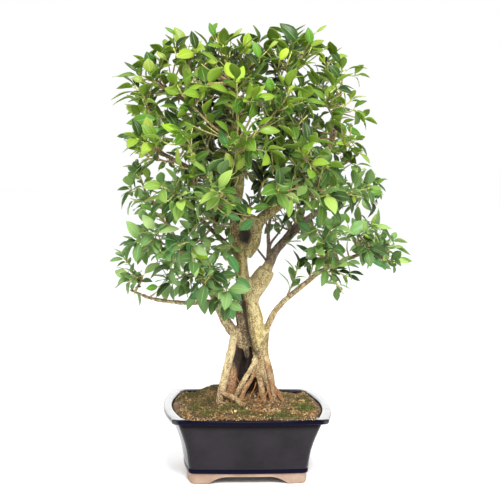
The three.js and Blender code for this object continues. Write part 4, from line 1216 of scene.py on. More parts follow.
def found_leaves(plan, corners):
    """The leaves that the CAD node has, known by the corners at their tips."""
    slots = [slot for twig in plan["twigs"] for slot in twig["slots"]]
    leaves = []
    for k, slot in enumerate(slots):
        for trial in range(LEAF_TRIES):
            leaf = plan_leaf(plan["number"], k, slot, trial)
            lift = LEAF_THICKNESS / 2 - LEAF_ARCH * leaf["length"]
            tip = leaf["base"] + leaf["forward"] * leaf["length"] + leaf["face"] * lift
            if np.abs(corners - tip).sum(axis=1).min() < 0.06:
                leaves.append(leaf)
                break
    return leaves


# Blade: shares of its length, and of its half width there
BLADE_ALONG = np.array([0, 0.07, 0.19, 0.36, 0.56, 0.75, 0.9, 1.0])
BLADE_WIDTH = np.array([0.05, 0.36, 0.7, 0.96, 0.98, 0.72, 0.34, 0.02])
BLADE_ACROSS = np.array([-1, -0.55, 0, 0.55, 1.0])
PETIOLE = 0.15
STALK_RADII = [0.62, 0.5, 0.42]
STALK_TONE = np.array((198, 200, 104))
PLAIN_BLADE = np.array([[0, 0.5, 0.0]] * 3)
ARCH_CURVE = np.polyfit([0, 0.42, 0.74, 1], [0, 0.5, -0.2, -1], 3)


def add_leaves(surface, leaves, rng, tint):
    """Thin closed blades on short stalks. tint gives each leaf's colour from its place."""
    count = len(leaves)
    base, forward, face = (np.array([leaf[k] for leaf in leaves]) for k in ("base", "forward", "face"))
    length = np.array([leaf["length"] for leaf in leaves])[:, None, None]
    width = np.array([leaf["width"] for leaf in leaves])[:, None, None]
    side = np.cross(face, forward)
    paint = np.array([tint(leaf, rng) for leaf in leaves])
    fold = rng.uniform(0.06, 0.42, count)[:, None, None]
    twist = rng.normal(0, 0.1, count)[:, None, None]
    sweep = rng.normal(0, 0.05, count)[:, None, None]
    phase = rng.uniform(0, 6.28, count)[:, None, None]
    along = (PETIOLE + (1 - PETIOLE) * BLADE_ALONG)[None, :, None]
    across = BLADE_ACROSS[None, None, :]
    out = across * BLADE_WIDTH[None, :, None] * width / 2
    lift = np.polyval(ARCH_CURVE, along) * LEAF_ARCH * length
    lift = lift + fold * np.abs(out) + twist * out * along
    lift = lift + 0.016 * width * np.sin(along * 17 + phase) * np.abs(across)
    aside = out + sweep * length * along ** 2
    centre = (base[:, None, None] + forward[:, None, None] * (along * length)[..., None]
              + side[:, None, None] * aside[..., None] + face[:, None, None] * lift[..., None])
    thick = (0.28 - 0.13 * np.abs(across) + 0 * along)[..., None]
    above = centre + face[:, None, None] * thick
    below = centre - face[:, None, None] * thick
    rows, columns = len(BLADE_ALONG), len(BLADE_ACROSS)
    each = rows * columns
    top = grid_faces(rows, columns)
    rim = np.concatenate([
        np.arange(columns), np.arange(1, rows) * columns + columns - 1,
        (rows - 1) * columns + np.arange(columns - 2, -1, -1), np.arange(rows - 2, 0, -1) * columns])
    over = np.roll(rim, -1)
    edge = np.stack([rim, over, over + each, rim + each], axis=1)[:, ::-1]
    faces = np.concatenate([top, top[:, ::-1] + each, edge])
    offset = (np.arange(count) * 2 * each)[:, None, None]
    points = np.concatenate([above.reshape(count, -1, 3), below.reshape(count, -1, 3)], axis=1)
    blade = np.zeros((rows, columns, 3))
    blade[..., 0] = BLADE_ALONG[:, None]
    blade[..., 1] = np.abs(BLADE_ACROSS)
    both = np.concatenate([blade.reshape(-1, 3), blade.reshape(-1, 3) + (0, 0, 1)])
    surface.add(points.reshape(-1, 3), [(faces[None] + offset).reshape(-1, 4)],
                blade=np.tile(both, (count, 1)), paint=np.repeat(linear(paint), 2 * each, axis=0))
    share = np.array([0, 0.5, 1.05]) * PETIOLE
    for k in range(count):
        rise = np.polyval(ARCH_CURVE, share) * LEAF_ARCH * length[k, 0, 0]
        stalk = base[k] + np.outer(share * length[k, 0, 0], forward[k]) + np.outer(rise, face[k])
        stalk[0] -= forward[k] * 0.8
        colour = linear(0.35 * paint[k] + 0.65 * STALK_TONE)
        tube(surface, stalk, STALK_RADII, 4, blade=PLAIN_BLADE, paint=np.array([colour] * 3))


# Leaf colours by region: dark, usual and bright; leaves deeper in the canopy take the darker ones as
# painted shade
GREENS = {
    "crown": ((18, 40, 2), (74, 110, 12), (146, 166, 44)),
    "upper": ((18, 44, 2), (84, 120, 16), (160, 182, 52)),
    "middle": ((16, 42, 4), (80, 116, 22), (150, 174, 60)),
    "skirt": ((18, 44, 12), (86, 122, 44), (156, 180, 88)),
    "left": ((24, 52, 22), (104, 138, 80), (172, 198, 128)),
    "right": ((28, 56, 20), (108, 144, 74), (176, 202, 120)),
}
FRESH = np.array((150, 186, 30))
FRESH_SHARE = 0.012
# The canopy's middle and half sizes, inside which leaves get painted deep shade
SHADY_MIDDLE = np.array([-8.0, 14.0, 540.0])
SHADY_HALF = np.array([156.0, 138.0, 166.0])


def openness(leaf):
    """From 0 for a leaf deep inside the canopy to 1 for one at its outside."""
    middle = leaf["base"] + leaf["forward"] * leaf["length"] * 0.5
    share = np.linalg.norm((middle - SHADY_MIDDLE) / SHADY_HALF)
    return float(np.clip((share - 0.55) / 0.42, 0, 1))


def tint_for(region):
    """A rule for a leaf's colour, with painted shade that darkens it the deeper inside the canopy it lies.
    """
    dark, usual, bright = (np.array(c, float) for c in GREENS[region])

    def tint(leaf, rng):
        light = openness(leaf)
        # painted shade: leaves deeper inside draw from the darker tones
        t = rng.random() * 2 * (0.2 + 0.8 * light)
        colour = dark + (usual - dark) * t if t < 1 else usual + (bright - usual) * (t - 1)
        if rng.random() < leaf.get("fresh", FRESH_SHARE):
            colour = colour + (FRESH - colour) * rng.uniform(0.4, 0.95)
        # painted shade: the colour is darkened for leaves inside the canopy
        return np.clip(colour * (0.08 + 0.92 * light), 0, 255)

    return tint


class Crowd:
    """Keeps new leaves a few millimetres clear of those already there."""

    CELL = 6.0
    APART_SQUARED = 17

    def __init__(self):
        self.cells = {}

    def places(self, leaf):
        side = np.cross(leaf["face"], leaf["forward"]) * leaf["width"] * 0.36
        rows = [leaf["base"] + leaf["forward"] * leaf["length"] * t for t in (0.32, 0.5, 0.68, 0.86, 1.0)]
        return rows + [rows[k] + side * s for k in (0, 1, 2) for s in (-1, 1)]

    def near(self, point):
        cx, cy, cz = (int(math.floor(c / self.CELL)) for c in point)
        for dx in (-1, 0, 1):
            for dy in (-1, 0, 1):
                for dz in (-1, 0, 1):
                    for other in self.cells.get((cx + dx, cy + dy, cz + dz), ()):
                        if ((other - point) ** 2).sum() < self.APART_SQUARED:
                            return True
        return False

    def clear(self, leaf):
        return not any(self.near(p) for p in self.places(leaf))

    def add(self, leaf):
        for p in self.places(leaf):
            key = tuple(int(math.floor(c / self.CELL)) for c in p)
            self.cells.setdefault(key, []).append(p)


BOX_LOW = (np.array(cad_low) - SHIFT) * 1000
BOX_HIGH = (np.array(cad_high) - SHIFT) * 1000
GOLDEN_TURN = 2.39996
LONGEST_LEAF = 36
WIDTH_SHARES = (0.38, 0.5)
LEAF_ANGLE = 0.85
# From a twig's tip to its first leaf, and the bare stretch at its foot
FIRST_LEAF = 7.0
BARE_FOOT = 3
# Reach of the leaves at each height: height, left end and right end
CANOPY_REACH = np.array([
    (262, -170, 40), (281, -168, 52), (297, -194, 67), (312, -194, 168), (329, -216, 222), (345, -200, 252),
    (360, -196, 250), (391, -193, 212), (422, -205, 207), (452, -201, 201), (484, -196, 187),
    (514, -198, 172), (544, -204, 166), (574, -198, 150), (604, -216, 150), (634, -208, 152),
    (665, -172, 132), (694, -136, 114), (710, -90, 90)])
# Thin places: middle x and z, half width and half height
THIN_PLACES = np.array([
    (-150, 500, 52, 30), (89, 544, 26, 20), (158, 580, 26, 52), (140, 622, 30, 36), (-166, 462, 30, 20)])
# The trunk is left in view from the front: left and right ends, and the top
TRUNK_VIEW = (-46, 44, 318)
# How many of the further leaves grow in a thin place
THIN_SHARE = 0.12


def reach_at(z):
    """The canopy's left and right ends at a height."""
    return [np.interp(z, CANOPY_REACH[:, 0], CANOPY_REACH[:, k]) for k in (1, 2)]


def room_for(leaf, rng):
    """Whether a further leaf stays within the canopy and leaves the thin places thin."""
    tip = leaf["base"] + leaf["forward"] * leaf["length"]
    if np.any(tip < BOX_LOW + 1) or np.any(tip > BOX_HIGH - 1):
        return False
    x, y, z = tip
    left, right = reach_at(z)
    if x < left or x > right or z < CANOPY_REACH[0, 0]:
        return False
    if y < 20 and TRUNK_VIEW[0] < x < TRUNK_VIEW[1] and z < TRUNK_VIEW[2]:
        return False
    thin = np.hypot(*((np.array([x, z]) - THIN_PLACES[:, :2]) / THIN_PLACES[:, 2:]).T)
    return thin.min() > 1 or rng.random() < THIN_SHARE


def grow_leaves(crowd, rng, path, reach, gap, smallest, lift, tries=7):
    """Leaves in a spiral up the last stretch of a twig, each turned until it finds room."""
    leaves = []
    pieces = np.linalg.norm(np.diff(path, axis=0), axis=1)
    place = FIRST_LEAF
    turn = rng.uniform(0, 6.28)
    while place < min(reach, pieces.sum() - BARE_FOOT):
        left = place
        k = len(pieces) - 1
        while left > pieces[k]:
            left -= pieces[k]
            k -= 1
        axis = (path[k + 1] - path[k]) / pieces[k]
        base = path[k + 1] - axis * left
        for trial in range(tries):
            angle = LEAF_ANGLE + rng.normal(0, 0.16) + 0.03 * trial
            forward = leaving(axis, angle, turn + rng.normal(0, 0.15 + 0.12 * trial))
            forward = unit(forward + UP * rng.normal(lift, 0.16))
            length = smallest + (LONGEST_LEAF - smallest) * rng.random() ** 1.5
            leaf = make_leaf(base, forward, UP + axis * 0.6, rng.normal(0, 0.6), length,
                             rng.uniform(*WIDTH_SHARES))
            if room_for(leaf, rng) and crowd.clear(leaf):
                crowd.add(leaf)
                leaves.append(leaf)
                break
        turn += GOLDEN_TURN
        place += gap * rng.uniform(0.8, 1.25)
    return leaves


# Size of the CAD's leaves inside the canopy's edge and past it, and their width besides
SIZE_INSIDE = 0.9
SIZE_PAST_EDGE = 0.62
SLIMMER = 0.94


def slimmer(leaf):
    """A CAD leaf a little smaller, and smaller still where it reaches past the canopy's edge."""
    x, y, z = leaf["base"] + leaf["forward"] * leaf["length"]
    left, right = reach_at(z)
    past = x < left - 3 or x > right + 3
    size = SIZE_PAST_EDGE if past else SIZE_INSIDE
    return {**leaf, "length": leaf["length"] * size, "width": leaf["width"] * size * SLIMMER}


def bent(a, b, rng, amount=2.0, count=5):
    """A slightly crooked path from one place to another."""
    t = np.linspace(0, 1, count)[:, None]
    path = a + (b - a) * t
    sway = unit(np.cross(b - a, rng.normal(size=3)))
    aside = np.cross(unit(b - a), sway)
    return path + sway * amount * np.sin(math.pi * t) + aside * amount * 0.6 * np.sin(2 * math.pi * t)


YOUNG = np.array([(192, 194, 112)])
WOODY = np.array([(162, 132, 98)])
BUD_LENGTH = 5


def twig_paint(count, from_tip):
    """From green at the tip to brown at the foot."""
    mix = np.clip(np.linspace(1, 0, count) * 1.6 - from_tip, 0, 1)[:, None]
    return linear(YOUNG + (WOODY - YOUNG) * mix)


def add_twig(surface, path, foot, tip, from_tip):
    """A thin round twig that narrows from its foot to its tip."""
    radii = np.linspace(foot, tip, len(path))
    tube(surface, path, radii, 5, paint=twig_paint(len(path), from_tip))


def leaf_piece(surface, name, region, nodes=()):
    """A piece of leaves: yellower green in the upper regions and bluer green below."""
    upper = region in ("crown", "upper", "middle")
    piece(surface.mesh(name), name, [LEAF_UPPER if upper else LEAF_LOWER], nodes)


def add_bud(surface, tip, axis):
    """A pointed bud at a stem's tip."""
    path = [tip, tip + axis * BUD_LENGTH * 0.4, tip + axis * BUD_LENGTH]
    tube(surface, path, [0.9, 1.0, 0.15], 5, paint=np.repeat(linear(YOUNG * 1.15), 3, axis=0),
         blade=PLAIN_BLADE)


# How much the further leaves of a region turn upwards
LEAF_LIFT = {"crown": 0.4, "upper": 0.22, "middle": 0.1}
# Where side shoots leave the outer half of a spray's stem
SHOOT_PLACES = (0.2, 0.42, 0.64, 0.88)


def spray_piece(name, region, plan, crowd, own, twigs):
    """One leafy stem: the CAD's twigs and leaves, with further twigs and leaves between them."""
    number = plan["number"]
    rng = np.random.default_rng(900 + number)
    stem, twig = plan["twigs"]
    leaves = [slimmer(leaf) for leaf in own]
    start, half, middle = stem["path"][:3]
    end = stem["path"][-1]
    shoots = []
    for k, share in enumerate(SHOOT_PLACES):
        t = share + rng.uniform(-0.08, 0.08)
        foot = half + (middle - half) * t
        way = unit(leaving(plan["axis"], rng.uniform(0.75, 1.25), 2.1 * k + 6.28 * draw(number, 1) + 1.3)
                   + UP * 0.15)
        shoots.append(bent(foot, foot + way * rng.uniform(24, 40), rng))
    stem_path = smooth_path(np.array([start, half, middle, end]), 9)
    twig_path = np.array([twig["path"][0], twig["path"][-1]])
    lift = LEAF_LIFT.get(region, 0.0)
    leaves += grow_leaves(crowd, rng, stem_path, reach=80, gap=6.5, smallest=20, lift=lift)
    leaves += grow_leaves(crowd, rng, twig_path, reach=32, gap=6, smallest=19, lift=lift)
    for path in shoots:
        tip, before = path[-1], path[-2]
        axis = unit(tip - before)
        leaf = make_leaf(tip, unit(axis + rng.normal(0, 0.15, 3)), UP + axis * 0.6, rng.normal(0, 0.3),
                         rng.uniform(24, 33))
        if room_for(leaf, rng) and crowd.clear(leaf):
            crowd.add(leaf)
            leaf["fresh"] = 0.08
            leaves.append(leaf)
        leaves += grow_leaves(crowd, rng, path, reach=40, gap=5.5, smallest=18, lift=lift)
    surface = Surface()
    add_leaves(surface, leaves, rng, tint_for(region))
    add_bud(surface, end, plan["axis"])
    leaf_piece(surface, name + "_leaves", region, [name])
    radii = np.interp(np.linspace(0, 1, len(stem_path)), [0, 0.4, 0.75, 1], [2.1, 1.8, 1.35, 0.95])
    tube(twigs, stem_path, radii, 6, paint=twig_paint(len(stem_path), 0.2))
    tube(twigs, twig["path"], twig["radii"] * 0.95, 5, paint=twig_paint(len(twig["path"]), 0.5))
    for path in shoots:
        add_twig(twigs, path, 1.2, 0.75, 0.5)


# Inner twigs fill the canopy between the sprays: height, half width, half depth and count
INNER_LEVELS = [(408, 86, 60, 8), (440, 72, 56, 7), (470, 96, 84, 10), (508, 88, 82, 9),
                (546, 96, 88, 10), (586, 84, 78, 9), (622, 66, 54, 7)]


# The lowest level stays behind the trunk, from here back
BACK_ONLY = 16


def inner_twigs(crowd, earlier, twigs):
    """Leafy twigs between the sprays, a piece for each level."""
    for level, (z, rx, ry, count) in enumerate(INNER_LEVELS):
        rng = np.random.default_rng(300 + level)
        leaves = []
        for k in range(count):
            angle = 2 * math.pi * (k + 0.5 * level) / count + rng.normal(0, 0.12)
            share = rng.uniform(0.62, 1.05)
            middle = np.array([-6 + rx * share * math.cos(angle), ry * share * math.sin(angle),
                               z + rng.normal(0, 9)])
            if level == 0:
                middle[1] = BACK_ONLY + abs(middle[1]) * 0.8
            start = stem_start(middle, earlier[-12:])
            axis = outward_from(middle.copy())
            end = middle + axis * 24
            path = smooth_path(np.array([start, (start + middle) / 2 - UP * 5, middle, end]), 9)
            leaf = make_leaf(end, axis, UP + axis * 0.6, rng.normal(0, 0.4), rng.uniform(28, 38))
            if crowd.clear(leaf):
                crowd.add(leaf)
                leaves.append(leaf)
            leaves += grow_leaves(crowd, rng, path, reach=84, gap=7, smallest=20, lift=0.1)
            add_twig(twigs, path, 1.9, 0.9, 0.3)
            for side in (-1, 1):
                foot = path[len(path) * 2 // 3]
                way = unit(leaving(axis, 1.0, side * 1.5 + rng.normal(0, 0.4)) + UP * 0.2)
                shoot = bent(foot, foot + way * rng.uniform(26, 38), rng)
                leaves += grow_leaves(crowd, rng, shoot, reach=40, gap=6.5, smallest=20, lift=0.1)
                add_twig(twigs, shoot, 1.2, 0.75, 0.5)
        surface = Surface()
        region = "skirt" if z < 450 else "middle" if z < 530 else "upper"
        add_leaves(surface, leaves, rng, tint_for(region))
        leaf_piece(surface, f"inner_leaves_{level + 1}", region)


# Prominent leaves: stalk, tip, width as a share of the length, and colour
OUTER_LEAVES = [
    ((64, -40, 672), (36, -44, 704), 0.5, "dark"), ((85, -30, 671), (77, -34, 699), 0.46, "mid"),
    ((-108, -40, 660), (-122, -44, 692), 0.55, "olive"),
    ((-51, -50, 663), (-51, -54, 689), 0.62, "olive"), ((4, -60, 644), (-6, -64, 673), 0.42, "mid"),
    ((32, -60, 643), (45, -64, 666), 0.45, "lime"), ((-158, -50, 621), (-160, -54, 645), 0.7, "olive"),
    ((-101, -80, 610), (-105, -84, 636), 0.5, "olive"),
    ((-94, -80, 613), (-82, -84, 632), 0.42, "olive"), ((-30, -120, 562), (-34, -124, 586), 0.62, "mid"),
    ((31, -110, 566), (22, -114, 596), 0.5, "mid"), ((132, -20, 644), (112, -24, 672), 0.42, "dark"),
    ((-155, -70, 535), (-161, -74, 559), 0.6, "olive"), ((137, -40, 554), (161, -44, 538), 0.36, "mid"),
    ((-45, -130, 518), (-55, -134, 541), 0.42, "blue"),
    ((-38, -130, 486), (-48, -134, 509), 0.5, "olive"),
    ((-33, -130, 482), (-20, -134, 503), 0.42, "olive"),
    ((-120, -90, 351), (-128, -94, 393), 0.4, "blue"), ((-97, -90, 353), (-97, -94, 389), 0.3, "blue"),
    ((144, -60, 386), (171, -64, 411), 0.55, "pale"), ((192, -30, 390), (189, -34, 419), 0.5, "olive"),
    ((-21, -50, 322), (-38, -54, 357), 0.42, "blue"), ((223, -10, 345), (257, -14, 346), 0.3, "mid"),
    ((-30, -55, 320), (-2, -59, 307), 0.5, "blue"), ((-81, -60, 290), (-63, -64, 308), 0.5, "blue"),
    ((118, -50, 565), (134, -54, 579), 0.6, "mid"), ((-2, -110, 581), (-4, -114, 597), 0.7, "mid"),
    ((37, -110, 563), (49, -114, 580), 0.6, "mid"), ((55, -100, 508), (77, -104, 516), 0.62, "olive"),
    ((153, -60, 438), (149, -64, 448), 0.5, "lime"), ((-8, -90, 418), (-12, -94, 430), 0.45, "lime"),
    ((178, -30, 448), (200, -34, 455), 0.5, "mid"), ((-188, -30, 531), (-206, -34, 531), 0.4, "dark"),
    ((-177, -20, 596), (-217, -24, 589), 0.14, "olive"),
    ((-178, -20, 589), (-215, -24, 582), 0.14, "mid"), ((142, -10, 638), (173, -14, 646), 0.16, "dark"),
    ((129, -10, 614), (155, -14, 613), 0.18, "mid"), ((159, -20, 493), (184, -24, 495), 0.14, "pale"),
    ((-168, -30, 520), (-199, -34, 510), 0.16, "mid"), ((-163, -30, 488), (-185, -34, 472), 0.18, "mid"),
    ((-26, -120, 492), (-30, -124, 510), 0.42, "olive"), ((39, -90, 438), (17, -94, 453), 0.45, "dark"),
    ((23, -90, 432), (-5, -94, 432), 0.4, "mid"), ((94, -90, 512), (93, -94, 494), 0.5, "olive"),
    ((-56, -70, 642), (-73, -74, 639), 0.5, "olive"), ((-68, -40, 686), (-59, -44, 700), 0.5, "mid"),
    ((145, -50, 403), (142, -54, 422), 0.4, "mid"), ((-164, -60, 387), (-166, -64, 393), 0.6, "olive"),
    ((-140, -60, 556), (-191, -64, 555), 0.34, "mid"), ((-135, -70, 536), (-159, -74, 540), 0.5, "mid"),
    ((-42, -26, 284), (-24, -28, 251), 0.46, "mid"),
    ((4, -40, 410), (-19, -44, 392), 0.5, "blue"), ((-34, -50, 421), (-52, -54, 418), 0.5, "blue"),
    ((-17, -60, 432), (-49, -64, 428), 0.36, "mid"), ((-20, -45, 410), (-39, -49, 413), 0.5, "blue"),
    ((97, -60, 397), (99, -64, 422), 0.45, "blue"), ((115, -60, 381), (109, -64, 400), 0.6, "blue"),
    ((-78, -100, 443), (-91, -104, 458), 0.6, "mid"), ((126, -80, 451), (103, -84, 454), 0.3, "mid"),
    ((-145, -60, 409), (-163, -64, 409), 0.6, "mid"), ((-135, -70, 413), (-123, -74, 444), 0.3, "mid"),
    ((-145, -60, 418), (-171, -64, 432), 0.2, "mid"), ((102, -20, 665), (119, -24, 679), 0.2, "olive"),
    ((90, -20, 692), (108, -24, 705), 0.22, "olive"), ((14, -60, 659), (33, -64, 681), 0.2, "olive"),
    ((149, -40, 529), (140, -44, 538), 0.6, "dark"), ((131, -50, 507), (151, -54, 507), 0.6, "olive"),
    ((-94, -120, 503), (-103, -124, 504), 0.5, "olive"), ((121, -50, 555), (138, -54, 550), 0.5, "mid"),
    ((-119, -44, 680), (-136, -48, 691), 0.3, "mid"), ((-61, -52, 677), (-72, -56, 698), 0.42, "mid"),
    ((-39, -48, 675), (-22, -52, 692), 0.26, "olive"), ((-71, -60, 653), (-68, -64, 673), 0.6, "dark"),
    ((-96, -56, 649), (-83, -60, 672), 0.45, "olive"), ((-155, -44, 636), (-162, -48, 655), 0.7, "dark"),
    ((-131, -50, 641), (-148, -54, 655), 0.35, "olive"),
    ((-63, -66, 630), (-65, -70, 647), 0.6, "olive"), ((-35, -74, 614), (-33, -78, 632), 0.7, "dark"),
    ((-103, -66, 612), (-105, -70, 637), 0.52, "olive"),
    ((-94, -66, 613), (-80, -70, 634), 0.45, "olive"), ((-172, -34, 622), (-196, -38, 640), 0.2, "dark"),
    ((-185, -30, 616), (-214, -34, 621), 0.12, "olive"),
    ((-166, -54, 609), (-182, -58, 618), 0.6, "olive"), ((20, -84, 596), (15, -88, 619), 0.6, "mid"),
    ((-3, -96, 580), (-3, -100, 597), 0.7, "mid"), ((65, -80, 566), (53, -84, 596), 0.5, "dark"),
    ((-116, -96, 560), (-100, -100, 581), 0.5, "mid"), ((-81, -104, 553), (-49, -108, 571), 0.3, "dark"),
    ((111, -56, 560), (132, -60, 582), 0.5, "mid"), ((128, -36, 624), (113, -40, 646), 0.5, "dark"),
    ((-43, -128, 512), (-57, -132, 541), 0.4, "mid"), ((46, -100, 506), (58, -104, 533), 0.45, "dark"),
    ((63, -104, 493), (56, -108, 522), 0.6, "olive"), ((93, -84, 492), (90, -88, 520), 0.5, "dark"),
    ((170, -44, 446), (196, -48, 458), 0.4, "mid"), ((-93, -104, 442), (-62, -108, 458), 0.5, "mid"),
    ((-140, -84, 414), (-119, -88, 449), 0.35, "dark"), ((-161, -70, 395), (-149, -74, 422), 0.5, "mid"),
    ((-44, -84, 419), (-22, -88, 412), 0.4, "blue"), ((63, -66, 408), (86, -70, 394), 0.5, "blue"),
    ((112, -66, 372), (109, -70, 402), 0.45, "blue"), ((-54, -70, 321), (-73, -74, 338), 0.55, "blue"),
    ((-60, -70, 307), (-95, -74, 291), 0.4, "blue"), ((-40, -66, 308), (-17, -70, 288), 0.5, "blue"),
    ((-46, -60, 289), (-26, -64, 258), 0.45, "blue"), ((-140, -60, 307), (-160, -64, 306), 0.5, "mid"),
    ((107, -50, 330), (116, -54, 316), 0.7, "blue"), ((173, -40, 355), (217, -44, 334), 0.2, "blue"),
    ((129, -50, 365), (158, -54, 322), 0.12, "pale"), ((-9, -120, 485), (-23, -124, 506), 0.4, "mid"),
    ((29, -112, 474), (21, -116, 454), 0.4, "dark"),
]
OUTER_TONES = {
    "dark": (40, 76, 18), "mid": (84, 132, 28), "olive": (136, 154, 56), "lime": (176, 204, 34),
    "blue": (74, 124, 70), "pale": (128, 168, 104)}


# A leaf seen narrower than this lies flat, at this width
EDGE_ON = 0.2
FLAT_WIDTH = 0.36


def outer_leaves(crowd, twigs):
    """Leaves at the outside that face forward, or lie flat where they are seen edge on."""
    rng = np.random.default_rng(77)
    leaves = []
    for base, tip, share, tone in OUTER_LEAVES:
        base, tip = np.array(base, float), np.array(tip, float)
        flat = share < EDGE_ON
        hint = UP if flat else np.array([0.25 * rng.normal(), -1.0, 0.35])
        length = np.linalg.norm(tip - base)
        leaf = make_leaf(base, (tip - base) / length, hint, rng.normal(0, 0.12), length,
                         FLAT_WIDTH if flat else share)
        leaf["tone"] = np.array(OUTER_TONES[tone]) * rng.uniform(0.9, 1.08)
        crowd.add(leaf)
        leaves.append(leaf)
        limb = stem_start(base, [])
        reach = min(40.0, np.linalg.norm(limb - base) * 0.5)
        inward = base + unit(limb - base) * reach - leaf["forward"] * 4
        path = smooth_path(np.array([base, inward, limb]), 12)
        tube(twigs, path, np.linspace(0.7, 1.6, len(path)), 5, paint=twig_paint(len(path), 0.4)[::-1])
    surface = Surface()
    add_leaves(surface, leaves, rng, lambda leaf, rng: leaf["tone"])
    leaf_piece(surface, "outer_leaves", "upper")


# Leafy shoots low in the canopy, either side of the trunk
FILLING_SHOOTS = [
    [(60, -10, 288), (70, -14, 316), (76, -18, 342)], [(92, -12, 311), (97, -20, 338), (90, -28, 360)],
    [(50, 8, 364), (62, -4, 372), (78, -14, 374)], [(124, -14, 334), (112, -20, 352), (98, -30, 354)],
    [(-50, -10, 272), (-44, -18, 312), (-30, -20, 338)], [(-16, 6, 357), (-36, -12, 366), (-54, -24, 360)],
    [(-85, -16, 328), (-72, -20, 352), (-58, -22, 364)], [(-66, -8, 300), (-60, -10, 330), (-48, -4, 352)],
    [(-20, 5, 452), (-34, -24, 424), (-46, -44, 410)], [(80, 10, 457), (74, -20, 430), (64, -38, 412)],
    [(-136, -6, 420), (-160, -20, 430), (-186, -28, 437)],
    [(-124, -14, 388), (-150, -30, 418), (-173, -36, 426)],
    [(134, 25, 430), (140, -10, 440), (151, -30, 440)], [(186, 20, 456), (172, -14, 442), (160, -34, 430)],
    [(-20, 5, 484), (8, -30, 470), (26, -60, 462)], [(-24, 6, 524), (-2, -40, 520), (10, -70, 516)],
]


def filling_shoots(crowd, twigs):
    """Leaves along the low shoots, in one piece."""
    rng = np.random.default_rng(88)
    leaves = []
    for points in FILLING_SHOOTS:
        path = smooth_path(np.array(points, float), 8)
        leaves += grow_leaves(crowd, rng, path, reach=70, gap=5, smallest=18, lift=0.05)
        add_twig(twigs, path, 1.7, 0.8, 0.3)
    surface = Surface()
    add_leaves(surface, leaves, rng, tint_for("left"))
    leaf_piece(surface, "filling_leaves", "left")


# Thin bare forks beside the grey upright: places with a radius
THIN_FORKS = [
    [(30, 3, 352, 2.2), (33, 3, 368, 2.0), (43, 3, 382, 1.6), (53, 4, 397, 1.2), (58, 6, 416, 1.0)],
    [(31, 1, 334, 2.4), (23, 2, 345, 1.9), (12, 3, 359, 1.5), (4, 5, 376, 1.1)],
    [(40, 3, 354, 2.4), (48, 2, 368, 2.0), (60, 3, 384, 1.5), (66, 4, 404, 1.1)],
    [(30, 3, 385, 1.8), (24, 1, 404, 1.5), (22, -1, 424, 1.1)],
]
FORK_TONE = np.array([(104, 86, 72)])
# Young orange roots at the foot of the trunk
ROOTLETS = [
    [(12, -24, 151, 0.8), (9, -29, 143, 0.7), (3, -33, 132, 0.6), (1, -38, 123, 0.5)],
    [(31, -27, 140, 0.9), (27, -33, 133, 0.8), (18, -39, 122, 0.7), (11, -45, 116, 0.6)],
    [(30, -27, 138, 0.9), (35, -31, 130, 0.7), (36, -36, 119, 0.6)],
    [(-20, -12, 158, 1.0), (-15, -16, 150, 0.8), (-8, -20, 136, 0.7), (-7, -24, 126, 0.6)],
    [(20, -23, 146, 0.8), (17, -30, 136, 0.7), (12, -36, 121, 0.6)],
    [(46, -12, 130, 0.9), (53, -17, 121, 0.8), (66, -27, 111, 0.6)],
]
ROOTLET_TONE = np.array([(158, 108, 62)])


def bare_twigs(surface, paths, sides, tone):
    """Twigs or rootlets without leaves, through their places."""
    for path in paths:
        path = smooth_path(path, 5)
        tube(surface, path[:, :3], path[:, 3], sides, paint=np.repeat(linear(tone), len(path), axis=0))


def all_sprays():
    """The CAD's sprays first, so that every further leaf keeps clear of them."""
    earlier, plans, own = [], [], {}
    for region, middles in REGIONS.items():
        for k, middle in enumerate(middles):
            plan = plan_spray(len(plans), np.array(middle, float), earlier)
            plans.append((f"spray_{region}_{k + 1:02d}", region, plan))
    crowd = Crowd()
    for name, region, plan in plans:
        own[name] = found_leaves(plan, points_of(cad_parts[name].data))
        for leaf in own[name]:
            crowd.add(leaf)
    twigs = Surface()
    bare_twigs(twigs, THIN_FORKS, 6, FORK_TONE)
    bare_twigs(twigs, ROOTLETS, 5, ROOTLET_TONE)
    outer_leaves(crowd, twigs)
    filling_shoots(crowd, twigs)
    for name, region, plan in plans:
        spray_piece(name, region, plan, crowd, own[name], twigs)
    inner_twigs(crowd, earlier, twigs)
    piece(twigs.mesh("twigs"), "twigs", [TWIG])


all_sprays()

# Floor, light and camera
FLOOR_CORNERS = [(-6000, -3000, 0), (6000, -3000, 0), (6000, 9000, 0), (-6000, 9000, 0)]
# Soft lights: name, place, aim, width, height and power
LIGHTS = [
    ("key", (150, -1500, 1900), (0, 0, 350), 700, 700, 62),
    ("fill", (-1500, -900, 1200), (0, 0, 350), 1200, 1200, 8),
    ("back", (0, 1500, 640), (0, 0, 250), 2400, 700, 12),
    ("glint", (950, -1250, 900), (120, -80, 105), 160, 160, 2.5),
]
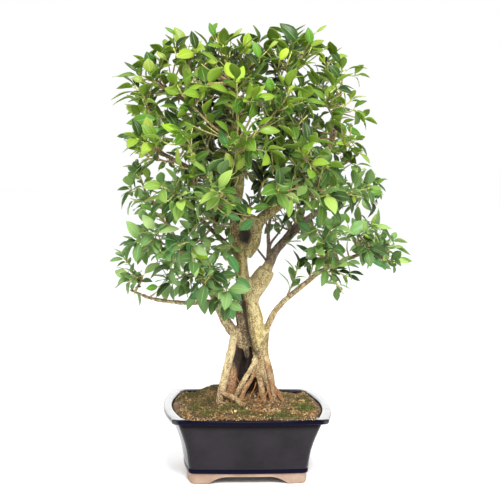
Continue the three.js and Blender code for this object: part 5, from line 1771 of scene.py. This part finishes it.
# Camera: distance and height in millimetres, and angles in degrees
CAMERA_DISTANCE = 1450
CAMERA_HEIGHT = 515
CAMERA_TURN = -4.6
CAMERA_TILT = 6.2
CAMERA_ROLL = 1.2
SENSOR_WIDTH = 36
LENS_SHARE = 927 / 500


def add_floor():
    surface = Surface()
    surface.add(FLOOR_CORNERS, [np.array([[0, 1, 2, 3]])])
    material, shader = start_material("pale_floor", 0.7)
    shader.inputs["Base Color"].default_value = (1, 1, 1, 1)
    floor = add_object("floor", surface.mesh("floor"))
    floor.data.materials.append(material)


def add_light(name, place, aim, width, height, power):
    """A soft rectangular light. Place, aim and size are in millimetres round the pot."""
    lamp = bpy.data.lights.new(name, "AREA")
    lamp.shape = "RECTANGLE"
    lamp.size = width / 1000
    lamp.size_y = height / 1000
    lamp.energy = power
    obj = add_object(name, lamp)
    obj.location = Vector(placed(place))
    way = Vector(placed(aim)) - obj.location
    obj.rotation_euler = way.to_track_quat("-Z", "Y").to_euler()


def add_world():
    world = bpy.data.worlds.new("white_room")
    world.use_nodes = True
    background = world.node_tree.nodes["Background"]
    background.inputs["Color"].default_value = (1, 1, 1, 1)
    background.inputs["Strength"].default_value = 1.0
    bpy.context.scene.world = world
    bpy.context.scene.view_settings.view_transform = "Standard"


def add_camera():
    turn, down, roll = (math.radians(angle) for angle in (CAMERA_TURN, CAMERA_TILT, CAMERA_ROLL))
    place = (CAMERA_DISTANCE * math.sin(turn), -CAMERA_DISTANCE * math.cos(turn), CAMERA_HEIGHT)
    forward = Vector((-math.sin(turn) * math.cos(down), math.cos(turn) * math.cos(down), -math.sin(down)))
    right = Vector((math.cos(turn), math.sin(turn), 0))
    up = right.cross(forward)
    leaning = math.cos(roll) * right + math.sin(roll) * up
    upright = -math.sin(roll) * right + math.cos(roll) * up
    lens = bpy.data.cameras.new("camera")
    lens.sensor_width = SENSOR_WIDTH
    lens.lens = LENS_SHARE * SENSOR_WIDTH
    lens.clip_start = 0.05
    obj = add_object("camera", lens)
    pose = Matrix((leaning, upright, -forward)).transposed().to_4x4()
    pose.translation = Vector(placed(place))
    obj.matrix_world = pose
    bpy.context.scene.camera = obj


add_floor()
add_world()
for light in LIGHTS:
    add_light(*light)
add_camera()
